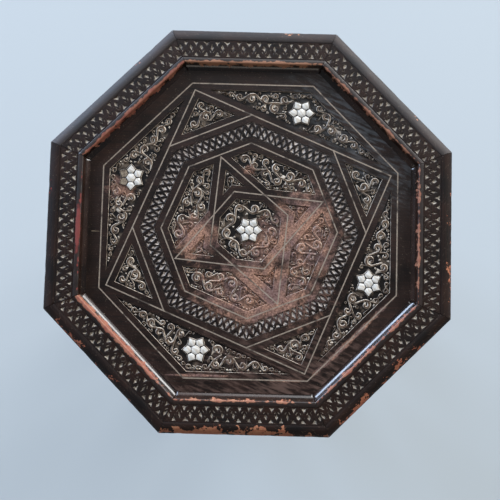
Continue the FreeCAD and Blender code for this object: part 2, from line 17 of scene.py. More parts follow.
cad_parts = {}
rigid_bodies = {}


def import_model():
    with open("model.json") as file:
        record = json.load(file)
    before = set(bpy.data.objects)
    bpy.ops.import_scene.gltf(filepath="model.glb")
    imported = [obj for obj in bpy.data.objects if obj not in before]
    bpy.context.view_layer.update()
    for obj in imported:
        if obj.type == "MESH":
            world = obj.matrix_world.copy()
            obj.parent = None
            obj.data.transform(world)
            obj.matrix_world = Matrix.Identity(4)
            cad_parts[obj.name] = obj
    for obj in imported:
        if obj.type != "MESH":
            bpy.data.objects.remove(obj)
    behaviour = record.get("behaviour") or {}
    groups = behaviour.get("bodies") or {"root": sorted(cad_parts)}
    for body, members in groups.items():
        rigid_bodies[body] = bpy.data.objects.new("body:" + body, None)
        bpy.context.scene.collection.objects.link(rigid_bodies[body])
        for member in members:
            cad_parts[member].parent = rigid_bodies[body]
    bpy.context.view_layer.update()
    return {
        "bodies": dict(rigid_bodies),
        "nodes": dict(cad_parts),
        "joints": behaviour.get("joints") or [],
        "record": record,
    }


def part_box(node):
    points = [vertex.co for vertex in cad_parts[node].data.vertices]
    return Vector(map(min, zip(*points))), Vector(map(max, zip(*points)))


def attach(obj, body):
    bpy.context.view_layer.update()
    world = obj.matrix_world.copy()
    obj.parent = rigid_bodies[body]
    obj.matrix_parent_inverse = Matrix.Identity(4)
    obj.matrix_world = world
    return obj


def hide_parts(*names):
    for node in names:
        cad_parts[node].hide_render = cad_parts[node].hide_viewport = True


LOG = logging.getLogger("side_table")

MM = 0.001
SIDES = 8
QUARTERS = 4
STAR_POINTS = 6
TURN = 360 / SIDES
HALF_TURN = TURN / 2
QUARTER_TURN = 360 / QUARTERS
FULL_RECESS = 1.0
ROOT = "root"

SMOOTH = {"interpolation_type": "SMOOTHSTEP"}
COLOUR = {"data_type": "RGBA"}

Point = tuple[float, float]
Line = tuple[float, float]


class Slot(Enum):
    """Material slots of the record."""

    WALNUT = "stained_walnut"
    WIRE = "inlay_wire"
    PEARL = "mother_of_pearl"
    PINE = "bare_pine"
    IRON = "iron"


class Grain(Enum):
    """Direction of the wood's fibres in a piece's own frame, as shares along its three axes."""

    OUTWARD = (1.0, 0.0, 0.0)
    SIDEWAYS = (0.0, 1.0, 0.0)
    UPRIGHT = (0.0, 0.0, 1.0)


# Plane geometry


def cosine(degrees: float) -> float:
    """Return the cosine of an angle in degrees."""
    return math.cos(math.radians(degrees))


def sine(degrees: float) -> float:
    """Return the sine of an angle in degrees."""
    return math.sin(math.radians(degrees))


def polar(centre: Point, degrees: float, out: float, aside: float = 0.0) -> Point:
    """Find a point from a centre.

    Args:
        centre: the point to start from.
        degrees: direction to go out along.
        out: distance along the direction.
        aside: distance to its left.

    Returns:
        The point.
    """
    x = centre[0] + out * cosine(degrees) - aside * sine(degrees)
    y = centre[1] + out * sine(degrees) + aside * cosine(degrees)
    return x, y


def meet(first: Line, second: Line) -> Point:
    """Find where two lines cross.

    Args:
        first: direction of the line's normal in degrees, and its distance from the origin.
        second: the other line, given alike.

    Returns:
        The crossing point.
    """
    (turn_a, far_a), (turn_b, far_b) = first, second
    spread = sine(turn_b - turn_a)
    x = (far_a * sine(turn_b) - far_b * sine(turn_a)) / spread
    y = (far_b * cosine(turn_a) - far_a * cosine(turn_b)) / spread
    return x, y


def outline(lines: list[Line]) -> list[Point]:
    """Find the corners of the closed outline whose sides lie on the given lines."""
    return [meet(lines[index - 1], line) for index, line in enumerate(lines)]


def regular(distance: float, sides: int, first_turn: float) -> list[Point]:
    """Find the corners of a regular outline.

    Args:
        distance: distance of each side from the centre.
        sides: number of sides.
        first_turn: direction of the first side's normal in degrees.

    Returns:
        The corners, counter-clockwise.
    """
    return outline([(first_turn + 360 / sides * index, distance) for index in range(sides)])


def turned(points: list[Point], degrees: float) -> list[Point]:
    """Turn points about the origin."""
    return [polar((0, 0), degrees, x, y) for x, y in points]


def arc(start: Point, stop: Point, rise: float, steps: int) -> list[Point]:
    """Sample an arc between two points.

    Args:
        start: first end, which is left out of the result.
        stop: last end, which is left out as well.
        rise: how far the arc's middle stands to the right of its chord.
        steps: number of equal steps along it.

    Returns:
        The points between the ends.
    """
    chord = math.dist(start, stop)
    radius = chord * chord / (8 * abs(rise)) + abs(rise) / 2
    half = math.asin(min(1.0, chord / 2 / radius))
    along = math.degrees(math.atan2(stop[1] - start[1], stop[0] - start[0]))
    points = []
    for step in range(1, steps):
        bend = half * (2 * step / steps - 1)
        lift = radius * (math.cos(bend) - math.cos(half)) * math.copysign(1, rise)
        middle = polar(start, along, chord / 2 + radius * math.sin(bend), -lift)
        points.append(middle)
    return points


def inset(points: list[Point], distance: float) -> list[Point]:
    """Move a counter-clockwise closed outline inwards.

    Args:
        points: corners of the outline.
        distance: how far each side moves.

    Returns:
        The corners of the smaller outline.
    """
    corners = np.array(points)
    ahead = np.roll(corners, -1, axis=0) - corners
    ahead /= np.linalg.norm(ahead, axis=1)[:, None]
    behind = np.roll(ahead, 1, axis=0)
    inward = np.stack([-ahead[:, 1], ahead[:, 0]], axis=1)
    before = np.stack([-behind[:, 1], behind[:, 0]], axis=1)
    share = 1 / np.maximum(0.25, 1 + (inward * before).sum(axis=1))
    return [tuple(corner) for corner in corners + (inward + before) * (share * distance)[:, None]]


def inside(points: np.ndarray, edge: list[Point]) -> np.ndarray:
    """Tell which points lie within a closed outline.

    Args:
        points: the points, one per row.
        edge: corners of the outline.

    Returns:
        A truth value for each point.
    """
    corners = np.array(edge)
    result = np.zeros(len(points), dtype=bool)
    for start, stop in zip(corners, np.roll(corners, -1, axis=0)):
        spans = (start[1] > points[:, 1]) != (stop[1] > points[:, 1])
        rise = stop[1] - start[1] if stop[1] != start[1] else 1.0
        cross = start[0] + (points[:, 1] - start[1]) * (stop[0] - start[0]) / rise
        result ^= spans & (points[:, 0] < cross)
    return result


def distance_to_edge(points: np.ndarray, edge: list[Point]) -> np.ndarray:
    """Measure how far points lie from a closed outline.

    Args:
        points: the points, one per row.
        edge: corners of the outline.

    Returns:
        The distance of each point, never negative.
    """
    corners = np.array(edge)
    nearest = np.full(len(points), np.inf)
    for start, stop in zip(corners, np.roll(corners, -1, axis=0)):
        nearest = np.minimum(nearest, along_segment(points, start, stop)[1])
    return nearest


def along_segment(points: np.ndarray, start: np.ndarray, stop: np.ndarray) -> tuple[np.ndarray, np.ndarray]:
    """Project points on a straight segment.

    Args:
        points: the points, one per row.
        start: first end of the segment.
        stop: last end.

    Returns:
        The share along the segment and the distance from it, for each point.
    """
    run = stop - start
    share = np.clip((points - start) @ run / max(1e-9, run @ run), 0, 1)
    foot = start + share[:, None] * run
    return share, np.linalg.norm(points - foot, axis=1)


# Carving


@dataclass(frozen=True)
class Groove:
    """A cut along a line, with half widths and depths at its points: V-shaped, or level in its middle share.

    The level part may have a vein, which is shallower by a share of the depth along its middle.
    """

    path: np.ndarray
    half_width: np.ndarray
    depth: np.ndarray
    closed: bool = False
    level: float = 0.0
    vein: float = 0.0

    def sideways(self) -> np.ndarray:
        """Return the unit direction to the left of the line at each of its points."""
        ahead = np.diff(self.path, axis=0)
        ahead /= np.maximum(1e-9, np.linalg.norm(ahead, axis=1))[:, None]
        first = ahead[-1:] if self.closed else ahead[:1]
        last = ahead[:1] if self.closed else ahead[-1:]
        before = np.vstack([first, ahead])
        after = np.vstack([ahead, last])
        mean = before + after
        length = np.maximum(0.7, np.linalg.norm(mean, axis=1) ** 2 / 2)[:, None]
        mean = mean / length
        return np.stack([-mean[:, 1], mean[:, 0]], axis=1)

    def depth_at(self, points: np.ndarray) -> np.ndarray:
        """Work out how deep this groove is at some points.

        Args:
            points: the points, one per row.

        Returns:
            The depth at each, which is nought outside the groove.
        """
        result = np.zeros(len(points))
        reach = self.half_width.max()
        low, high = self.path.min(axis=0) - reach, self.path.max(axis=0) + reach
        near = np.flatnonzero(((points >= low) & (points <= high)).all(axis=1))
        if not len(near):
            return result
        close = points[near]
        for index in range(len(self.path) - 1):
            share, away = along_segment(close, self.path[index], self.path[index + 1])
            width = self.half_width[index] * (1 - share) + self.half_width[index + 1] * share
            depth = self.depth[index] * (1 - share) + self.depth[index + 1] * share
            out = away / np.maximum(0.02, width)
            here = depth * np.clip((1 - out) / (1 - self.level), 0, 1)
            if self.vein:
                here *= 1 - self.vein * np.clip(1 - out / self.level, 0, 1)
            result[near] = np.maximum(result[near], here)
        return result


@dataclass(frozen=True)
class Notch:
    """A chip cut from an outline down to one deepest point."""

    corners: list[Point]
    deepest: Point
    depth: float


@dataclass
class CutNet:
    """The points and lines that a carved face must have, with their heights.

    Shapes are cut down from the ground, or stand up from it where it is sunk.
    """

    sunk: float = 0.0
    points: list[Point] = field(default_factory=list)
    heights: list[float] = field(default_factory=list)
    edges: list[tuple[int, int]] = field(default_factory=list)

    def chain(self, points: list[Point], heights: list[float], closed: bool = False) -> list[int]:
        """Add a line of points.

        Args:
            points: its points.
            heights: the height of each.
            closed: whether the last point joins the first.

        Returns:
            The places of the points in the net.
        """
        first = len(self.points)
        self.points += [(float(x), float(y)) for x, y in points]
        self.heights += [float(height) for height in heights]
        places = list(range(first, first + len(points)))
        self.edges += list(zip(places[:-1], places[1:]))
        if closed:
            self.edges.append((places[-1], places[0]))
        return places

    def height(self, depth: float | np.ndarray) -> float | np.ndarray:
        """Return the height of a shape that is so deep, or so high where the ground is sunk."""
        return depth - self.sunk if self.sunk else -depth

    def groove(self, groove: Groove) -> None:
        """Add a groove's bottom and its two edges."""
        side = groove.sideways() * groove.half_width[:, None]
        ground = [self.height(0.0)] * len(groove.path)
        bottom = self.height(groove.depth)
        lines = [self.chain(groove.path - side, ground)]
        for share in (-groove.level, 0.0, groove.level) if groove.level else (0.0,):
            shallow = self.height(groove.depth * (1 - groove.vein)) if share == 0.0 else bottom
            lines.append(self.chain(groove.path + side * share, shallow))
        lines.append(self.chain(groove.path + side, ground))
        if not groove.closed:
            for end in (0, -1):
                self.edges += [(line[end], after[end]) for line, after in zip(lines[:-1], lines[1:])]

    def notch(self, notch: Notch) -> None:
        """Add a chip's outline and its deepest point."""
        corners = self.chain(notch.corners, [self.height(0.0)] * len(notch.corners), closed=True)
        deepest = self.chain([notch.deepest], [self.height(notch.depth)])[0]
        self.edges += [(corner, deepest) for corner in corners]


@dataclass
class CarvedPlate:
    """A flat plate with a carved face, described in the plane of that face.

    Its shapes are cut into the face, or where the ground is sunk they are left standing on it.
    """

    edge: list[Point]
    openings: list[list[Point]] = field(default_factory=list)
    grooves: list[Groove] = field(default_factory=list)
    notches: list[Notch] = field(default_factory=list)
    edge_drop: float = 0.0
    edge_round: float = 0.4
    sunk: float = 0.0
    wall: float = 0.5

    def face(self) -> tuple[np.ndarray, np.ndarray, list[list[int]]]:
        """Triangulate the carved face.

        Returns:
            Its points in the plane, their heights, and its triangles.
        """
        net = CutNet(sunk=self.sunk)
        net.chain(self.edge, [-self.edge_drop] * len(self.edge), closed=True)
        if self.sunk:
            lips = [inset(self.edge, self.wall)] + [inset(opening, -self.wall) for opening in self.openings]
            for lip in lips:
                net.chain(lip, [-self.sunk] * len(lip), closed=True)
        if self.edge_drop:
            lip = inset(self.edge, self.edge_round)
            net.chain(lip, [0.0] * len(lip), closed=True)
        for opening in self.openings:
            net.chain(opening, [0.0] * len(opening), closed=True)
        for groove in self.grooves:
            net.groove(groove)
        for notch in self.notches:
            net.notch(notch)
        flat = [Vector(point) for point in net.points]
        corners, _, faces, origins, _, _ = delaunay_2d_cdt(flat, net.edges, [], 0, 0.004)
        points = np.array([tuple(corner) for corner in corners])
        outer = max if self.sunk else min
        ground = net.height(0.0)
        own = np.array([
            outer((net.heights[origin] for origin in places), default=ground) for places in origins
        ])
        cut = np.zeros(len(points))
        for groove in self.grooves:
            cut = np.maximum(cut, groove.depth_at(points))
        middles = np.array([points[list(face)].mean(axis=0) for face in faces])
        kept = inside(middles, self.edge)
        for opening in self.openings:
            kept &= ~inside(middles, opening)
        carved = net.height(cut)
        heights = np.maximum(own, carved) if self.sunk else np.minimum(own, carved)
        return points, heights, [list(face) for face, keep in zip(faces, kept) if keep]

    def build(self, thickness: float, place: Matrix) -> BMesh:
        """Make the plate as a closed solid.

        Args:
            thickness: its depth behind the face.
            place: where the plane of the face goes, in metres.

        Returns:
            The mesh, with how far each point is cut in as the layer named recess.
        """
        points, heights, triangles = self.face()
        bm = bmesh.new()
        recess = bm.verts.layers.float.new("recess")
        used = sorted({index for triangle in triangles for index in triangle})
        corners = {}
        for index in used:
            x, y = points[index]
            corners[index] = bm.verts.new((x * MM, y * MM, heights[index] * MM))
            corners[index][recess] = min(1.0, -heights[index] / FULL_RECESS)
        for triangle in triangles:
            bm.faces.new([corners[index] for index in triangle])
        rim = [edge for edge in bm.edges if edge.is_boundary]
        walls = bmesh.ops.extrude_edge_only(bm, edges=rim)
        for item in walls["geom"]:
            if isinstance(item, BMVert):
                item.co.z = -thickness * MM
                item[recess] = 0.0
        low = [edge for edge in bm.edges if edge.is_boundary]
        bmesh.ops.triangle_fill(bm, edges=low, use_beauty=True)
        bmesh.ops.recalc_face_normals(bm, faces=bm.faces[:])
        bmesh.ops.transform(bm, matrix=place, verts=bm.verts[:])
        return bm


def border_groove(edge: list[Point], distance: float, width: float, depth: float) -> Groove:
    """Lay an incised line along the inside of an outline.

    Args:
        edge: corners of the outline, counter-clockwise.
        distance: how far the line lies from it.
        width: width of the cut.
        depth: depth of the cut.

    Returns:
        The closed groove.
    """
    path = inset(edge, distance)
    path.append(path[0])
    count = len(path)
    return Groove(np.array(path), np.full(count, width / 2), np.full(count, depth), closed=True)


@dataclass(frozen=True)
class ScrollWork:
    """Free scrolls that fill an outline: spirals on stems, commas between them and drops in the rest."""

    large: float = 7.4
    small: float = 0.9
    least_curl: float = 1.55
    stem: float = 2.2
    border: float = 1.9
    gap: float = 0.55
    line_width: float = 1.9
    pitch: float = 3.1
    depth: float = 1.0
    level: float = 0.0
    vein: float = 0.0
    seed: int = 1
    grid: float = 0.4
    step: float = 0.9

    def places(self, edge: list[Point], blocked: list[tuple[Point, float]]) -> list[tuple[Point, float]]:
        """Pack round places into an outline, the largest first, each touching what is there.

        Args:
            edge: corners of the outline.
            blocked: centres and radii of rounds that are kept free.

        Returns:
            The centre and radius of each place.
        """
        corners = np.array(edge)
        low, high = corners.min(axis=0), corners.max(axis=0)
        xs = np.arange(low[0], high[0], self.grid)
        ys = np.arange(low[1], high[1], self.grid)
        points = np.stack(np.meshgrid(xs, ys), axis=-1).reshape(-1, 2)
        points = points[inside(points, edge)]
        room = distance_to_edge(points, edge) - self.border
        for centre, radius in blocked:
            room = np.minimum(room, np.linalg.norm(points - np.array(centre), axis=1) - radius)
        found = []
        last = corners.mean(axis=0)
        chance = np.random.default_rng(self.seed + 500)
        while room.max() >= self.small:
            radius = min(self.large * chance.uniform(0.75, 1.0), room.max())
            fits = np.flatnonzero(room >= radius - 1e-6)
            tight = fits[room[fits] <= room[fits].min() + self.grid]
            pick = tight[np.argmin(np.linalg.norm(points[tight] - last, axis=1))]
            radius = min(radius, room[pick])
            last = points[pick]
            found.append(((float(last[0]), float(last[1])), float(radius)))
            room = np.minimum(room, np.linalg.norm(points - last, axis=1) - radius - self.gap)
        return found

    def curl(
        self, centre: Point, radius: float, start: float, turns: float, last: float,
        lead: Point | None, width: float,
    ) -> Groove:
        """Cut one line that winds inwards.

        Args:
            centre: centre of the winding.
            radius: radius where it starts.
            start: direction of its start in degrees.
            turns: number of turns, negative when it winds clockwise.
            last: radius where it ends.
            lead: a point that the line comes from, if it has a stem.
            width: width of the cut.

        Returns:
            The groove, narrow at its start.
        """
        length = abs(turns) * math.pi * (radius + last)
        count = max(7, int(length / self.step))
        share = np.linspace(0, 1, count)
        angle = np.radians(start + 360 * turns * share)
        reach = radius + (last - radius) * share ** 0.9
        path = np.stack([centre[0] + reach * np.cos(angle), centre[1] + reach * np.sin(angle)], axis=1)
        swell = 0.6 + 0.4 * np.sin(math.pi * np.minimum(1, share * 1.25)) + 0.5 * np.maximum(0, share - 0.8)
        if lead is not None:
            path = np.vstack([np.array(lead), path])
            swell = np.concatenate([[0.45], swell])
        depth = self.depth * np.minimum(1, 0.3 + swell)
        return Groove(path, width / 2 * swell, depth, level=self.level, vein=self.vein)

    def drop(self, centre: Point, radius: float, turn: float) -> Notch:
        """Cut a pointed chip that lies along a direction."""
        corners = [
            polar(centre, turn, radius * 1.3),
            polar(centre, turn, -radius * 0.1, radius * 0.85),
            polar(centre, turn, -radius),
            polar(centre, turn, -radius * 0.1, -radius * 0.85),
        ]
        return Notch(corners, polar(centre, turn, -radius * 0.1), self.depth * 0.9)

    def fill(self, plate: CarvedPlate, edge: list[Point], blocked: list[tuple[Point, float]]) -> None:
        """Carve scrolls into a plate.

        Args:
            plate: the plate that gets the cuts.
            edge: outline of the part to fill.
            blocked: centres and radii of rounds that are kept free.
        """
        chance = np.random.default_rng(self.seed)
        hands: list[tuple[Point, float, int]] = []
        for centre, radius in self.places(edge, blocked):
            near = min(hands, key=lambda item: math.dist(item[0], centre) - item[1], default=None)
            hand = -near[2] if near else 1
            start = chance.uniform(0, 360)
            if near:
                start = math.degrees(math.atan2(near[0][1] - centre[1], near[0][0] - centre[0]))
            if radius <= self.least_curl:
                plate.notches.append(self.drop(centre, radius, start + hand * 70))
                continue
            width = min(self.line_width, radius * 0.62)
            outer = radius - width / 2
            lead = None
            if near:
                span = math.dist(near[0], centre)
                reach = near[1] - self.line_width / 2
                if span - near[1] - radius < self.stem:
                    start += hand * math.degrees(math.acos(min(1.0, (reach + outer) / span)))
                    lead = polar(near[0], start + 180, reach)
            inner = 1.5 if radius > 3.4 else outer * 0.62
            turns = hand * max(0.72, (outer - inner) / self.pitch)
            plate.grooves.append(self.curl(centre, outer, start, turns, inner, lead, width))
            hands.append((centre, radius, hand))


# Sizes


@dataclass(frozen=True)
class Layout:
    """Sizes of the table in millimetres: those above the defaults are read from the frame."""

    top_radius: float
    rim_level: float
    field_level: float
    octagon_line: float
    base_radius: float
    rail_face: float
    rail_low: float
    rail_high: float
    rail_half: float
    wire_width: float = 1.2
    band_out: float = 187.5
    band_in: float = 170.5
    band_depth: float = 1.2
    arris_line: float = 165.0
    edge_round_line: float = 190.0
    square_corner_gap: float = 7.4
    ring_width: float = 26.2
    rhombus_half_width: float = 41.2
    carving_border: float = 5.6
    carving_depth: float = 1.3
    star_offset: float = 22.0
    star_radius: float = 12.8
    star_bed_margin: float = 0.7
    star_bed_depth: float = 0.5
    kite_root: float = 4.7
    kite_root_half: float = 1.8
    kite_waist: float = 7.9
    kite_waist_half: float = 4.1
    rail_border: float = 8.0
    arch_thickness: float = 10.0
    arch_setback: float = 3.5
    foot_gap: float = 8.0
    stile_width: float = 11.0
    arch_crown_gap: float = 30.0
    arch_rise: float = 88.0
    nib_width: float = 5.0
    lobe_bulge: float = 5.5
    ogee_hollow: float = 3.0
    cusp_shares: tuple[Point, ...] = ((0.80, 0.38), (0.36, 0.74))
    plate_gap: float = 0.05

    @classmethod
    def read(cls) -> "Layout":
        """Read the driving sizes from the boxes of the CAD nodes."""
        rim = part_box("rim_moulding_1")[1]
        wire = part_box("wire_outer_octagon")[1]
        rail_low, rail_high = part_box("frieze_rail_1")
        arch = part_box("arch_board_1")[1]
        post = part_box("corner_post_1")[1]
        return cls(
            top_radius=rim[0] / MM,
            rim_level=rim[2] / MM,
            field_level=wire[2] / MM,
            octagon_line=wire[0] / MM - cls.wire_width / 2,
            base_radius=post[0] / MM,
            rail_face=rail_high[0] / MM,
            rail_low=rail_low[2] / MM,
            rail_high=rail_high[2] / MM,
            rail_half=arch[1] / MM,
        )

    @property
    def square_line(self) -> float:
        """Distance of the great square's wire from the centre."""
        return (self.octagon_line / cosine(HALF_TURN) - self.square_corner_gap) * cosine(45)

    @property
    def inner_line(self) -> float:
        """Distance of the inner octagon's wire from the centre."""
        return self.square_line - self.ring_width

    @property
    def rhombus_tip(self) -> float:
        """Distance of a rhombus's far corner from the centre."""
        return self.inner_line - 2 * self.wire_width

    @property
    def rhombus_lean(self) -> float:
        """Angle between a rhombus's long axis and the normal of its side, in degrees."""
        return math.degrees(math.atan(self.rhombus_tip / self.rhombus_half_width))

    @property
    def rhombus_line(self) -> float:
        """Distance of a rhombus's side from the centre."""
        return self.rhombus_tip * cosine(self.rhombus_lean)

    @property
    def carving_inset(self) -> float:
        """Distance from the middle of a wire to the carved ground beside it."""
        return self.wire_width / 2 + self.carving_border

    @property
    def star_place(self) -> float:
        """Distance of an outer star from the centre."""
        return self.square_line + self.star_offset

    @property
    def star_notch(self) -> float:
        """Distance from a star's centre to the inner corners of its bed."""
        return math.hypot(self.kite_waist, self.kite_waist_half) + self.star_bed_margin

    def star_bed(self, centre: Point, turn: float, ease: float = 0.0) -> list[Point]:
        """Outline the recess that holds a star.

        Args:
            centre: centre of the star.
            turn: direction of its first point in degrees.
            ease: how much smaller the outline is than the recess.

        Returns:
            The corners.
        """
        corners = []
        step = 360 / STAR_POINTS
        for point in range(STAR_POINTS):
            tip = turn + step * point
            corners.append(polar(centre, tip, self.star_radius + self.star_bed_margin - 2 * ease))
            corners.append(polar(centre, tip + step / 2, self.star_notch - ease))
        return corners

    def kite(self, centre: Point, tip: float) -> list[Point]:
        """Outline one point of a star."""
        return [
            polar(centre, tip, self.kite_root, -self.kite_root_half),
            polar(centre, tip, self.kite_waist, -self.kite_waist_half),
            polar(centre, tip, self.star_radius),
            polar(centre, tip, self.kite_waist, self.kite_waist_half),
            polar(centre, tip, self.kite_root, self.kite_root_half),
        ]


# Materials


def linear(code: str) -> tuple[float, float, float, float]:
    """Turn an sRGB hex colour into the linear colour that a shader takes."""
    shares = [int(code[index:index + 2], 16) / 255 for index in (1, 3, 5)]
    parts = [share / 12.92 if share <= 0.04045 else ((share + 0.055) / 1.055) ** 2.4 for share in shares]
    return (*parts, 1.0)


def add_node(
    tree: NodeTree, kind: str, sockets: dict[str | int, object] | None = None, **settings: object
) -> Node:
    """Add a node to a material.

    Args:
        tree: the material's node tree.
        kind: the node's type, without the words that all types begin with.
        sockets: values for its inputs, or nodes and outputs to link to them.
        settings: properties to set on it.

    Returns:
        The node.
    """
    node = tree.nodes.new("ShaderNode" + kind)
    for name, value in settings.items():
        setattr(node, name, value)
    for name, value in (sockets or {}).items():
        if isinstance(value, Node):
            value = next(output for output in value.outputs if output.enabled)
        if isinstance(value, NodeSocket):
            tree.links.new(value, node.inputs[name])
        else:
            node.inputs[name].default_value = value
    return node


def new_material(name: str) -> tuple[Material, NodeTree, Node]:
    """Start a material that knows where on the table its surface is.

    Args:
        name: the material's name.

    Returns:
        The material, its node tree, and the surface's place in millimetres.
    """
    material = bpy.data.materials.new(name)
    material.use_nodes = True
    tree = material.node_tree
    tree.nodes.clear()
    coords = add_node(tree, "TexCoord")
    place = add_node(tree, "VectorMath", {0: coords.outputs["Object"], "Scale": 1 / MM}, operation="SCALE")
    return material, tree, place


@dataclass(frozen=True)
class Patch:
    """An oval patch of the top, in millimetres, which may lean by some degrees."""

    centre: Point
    reach: Point
    lean: float = 0.0
    height: float = 12.0

    def share(
        self, tree: NodeTree, place: Node, level: float, rough: Node, push: float, limits: Point, most: float
    ) -> Node:
        """Find how much of something lies in the patch, whose edge is ragged.

        Args:
            tree: the material's node tree.
            place: the surface's place in millimetres.
            level: height of the patch's middle in millimetres.
            rough: uneven noise that makes the edge ragged.
            push: how much the noise moves the edge.
            limits: the reach at which there is nothing, and the one at which there is all.
            most: the share in the middle.

        Returns:
            The share.
        """
        moved = add_node(
            tree, "Mapping",
            {"Vector": place, "Location": (*self.centre, level), "Rotation": (0, 0, math.radians(self.lean)),
             "Scale": (*self.reach, self.height)},
            vector_type="TEXTURE",
        )
        away = add_node(tree, "VectorMath", {0: moved}, operation="LENGTH")
        spread = add_node(tree, "Math", {0: rough, 1: push, 2: away}, operation="MULTIPLY_ADD")
        return add_node(
            tree, "MapRange",
            {"Value": spread, "From Min": limits[0], "From Max": limits[1], "To Max": most},
            **SMOOTH,
        )


WORN_PATCHES = (
    Patch((55.0, -4.0), (35.0, 48.0)),
    Patch((14.0, -62.0), (66.0, 34.0)),
    Patch((18.0, -12.0), (25.0, 25.0)),
    Patch((-54.0, -8.0), (22.0, 24.0)),
    Patch((-128.0, 40.0), (15.0, 13.0)),
    Patch((-1.0, 61.0), (6.5, 5.0)),
    Patch((103.8, -103.8), (2.6, 60.0), lean=-45.0),
    Patch((-48.0, -143.9), (34.0, 1.4)),
    Patch((42.0, -146.6), (22.0, 1.3)),
)
FRONT_MARGIN = Patch((70.0, -190.0), (190.0, 100.0))
# Where the field's margin gets a painted grey sheen that stands in for reflected window light.
BACK_CORNER = Patch((150.0, 150.0), (120.0, 120.0))


@dataclass(frozen=True)
class StainedWalnut:
    """Walnut stained near black and waxed: a dull gloss, fine streaks, and red wood where it is rubbed.

    A carved piece has pale dust in its cuts. A relief has scrolls with pale flanks, partly wear and partly
    painted highlight, on a near-black ground that is dark stain deepened into painted shade, with old dust
    on it.
    A rim piece is rubbed along its arris and its outer edge.
    """

    name: str
    grain: Grain
    carved: bool = False
    relief: bool = False
    rim: bool = False
    dark: str = "#0f0a08"
    warm: str = "#301d15"
    rubbed_red: str = "#8a3429"
    rubbed_orange: str = "#b8805f"
    field_rubbed: str = "#d2a186"
    field_purple: str = "#9a7c75"
    rubbed_dark: str = "#533830"
    dust: str = "#c4b8a8"
    dust_dark: str = "#7d6e5c"
    # The relief's ground colour is painted shade on the sunk ground; the flank colours are a painted
    # highlight on the scrolls' sides, mixed with wear.
    ground: str = "#100c0a"
    ground_dust: str = "#64574a"
    worn_flank_highlight_dark: str = "#75675b"
    worn_flank_highlight_pale: str = "#d2c6b6"
    crest_dark: str = "#2e211a"
    crest_pale: str = "#6f5945"
    relief_roughness: float = 0.55
    thin_stain: str = "#604b42"
    # Painted grey sheen on the back right of the margin, standing in for reflected window light.
    margin_painted_sheen: str = "#505152"
    handled_roughness: float = 0.75
    fibre_length_mm: float = 38.0
    fibre_width_mm: float = 1.1
    blotch_mm: float = 26.0
    scratch_length_mm: float = 30.0
    scratch_width_mm: float = 0.5
    fibre_relief_mm: float = 0.12
    roughness: float = 0.44
    cove_roughness: float = 0.19
    rubbed_roughness: float = 0.62
    dust_roughness: float = 0.9
    gloss: float = 0.32
    carved_gloss: float = 0.25
    handled_gloss: float = 0.2

    def build(self, layout: Layout) -> Material:
        """Make the material.

        Args:
            layout: sizes of the table, for the lines along which it is rubbed.

        Returns:
            The material.
        """
        material, tree, place = new_material(self.name)
        turn = add_node(tree, "Attribute", attribute_name="side_turn").outputs["Fac"]
        back = add_node(tree, "Math", {0: turn, 1: -1.0}, operation="MULTIPLY")
        place = add_node(tree, "VectorRotate", {"Vector": place, "Angle": back}, rotation_type="Z_AXIS")
        streaks = self.stretched(tree, place, self.fibre_length_mm, self.fibre_width_mm, 0.0)
        scratches = self.stretched(tree, place, self.scratch_length_mm, self.scratch_width_mm, 0.6)
        blotches = add_node(tree, "TexNoise", {"Vector": place, "Scale": 1 / self.blotch_mm, "Detail": 4.0})
        tone = add_node(tree, "Math", {0: streaks, 1: blotches}, operation="MULTIPLY")
        tone = add_node(tree, "MapRange", {"Value": tone, "From Min": 0.12, "From Max": 0.42})
        colour = add_node(
            tree, "Mix", {"Factor": tone, "A": linear(self.dark), "B": linear(self.warm)}, **COLOUR
        )
        scored = add_node(
            tree, "MapRange", {"Value": scratches, "From Min": 0.63, "From Max": 0.76, "To Max": 0.55},
            **SMOOTH,
        )
        grit = add_node(tree, "TexNoise", {"Vector": place, "Scale": 1 / 2.6, "Detail": 3.0})
        specks = add_node(
            tree, "MapRange", {"Value": grit, "From Min": 0.67, "From Max": 0.75, "To Max": 0.5}, **SMOOTH
        )
        scored = add_node(tree, "Math", {0: scored, 1: specks}, operation="MAXIMUM")
        colour = add_node(
            tree, "Mix", {"Factor": scored, "A": colour, "B": linear(self.dust_dark)}, **COLOUR
        )
        rubbed = self.rubbed(tree, place, layout)
        hue = self.rubbed_colour(tree, place, layout, streaks)
        colour = add_node(tree, "Mix", {"Factor": rubbed, "A": colour, "B": hue}, **COLOUR)
        base = self.cove_roughness if self.rim else self.roughness
        rough = add_node(
            tree, "MapRange",
            {"Value": blotches, "From Min": 0.3, "From Max": 0.7, "To Min": base - 0.03,
             "To Max": base + 0.1},
        )
        rough = add_node(tree, "Mix", {"Factor": rubbed, "A": rough, "B": self.rubbed_roughness})
        gloss = self.carved_gloss if self.carved or self.relief else self.gloss
        held = worn = None
        if self.rim:
            rough, held = self.handled(tree, place, layout, rough)
        if self.relief:
            colour = self.standing(tree, place)
            rough = self.relief_roughness
        if not self.rim:
            colour, worn = self.field_wear(tree, place, layout, colour)
        if self.carved:
            dusty, dust_colour = self.dusty(tree, place, worn)
            colour = add_node(tree, "Mix", {"Factor": dusty, "A": colour, "B": dust_colour}, **COLOUR)
            rough = add_node(tree, "Mix", {"Factor": dusty, "A": rough, "B": self.dust_roughness})
        relief = add_node(tree, "Math", {0: streaks, 1: scratches}, operation="ADD")
        bump = add_node(
            tree, "Bump", {"Height": relief, "Strength": 0.35, "Distance": self.fibre_relief_mm * MM}
        )
        surface = {"Base Color": colour, "Roughness": rough, "Normal": bump}
        shader = add_node(tree, "BsdfPrincipled", surface | {"Specular IOR Level": gloss})
        if held:
            dull = add_node(tree, "BsdfPrincipled", surface | {"Specular IOR Level": self.handled_gloss})
            shader = add_node(tree, "MixShader", {0: held, 1: shader, 2: dull})
        add_node(tree, "OutputMaterial", {"Surface": shader})
        return material

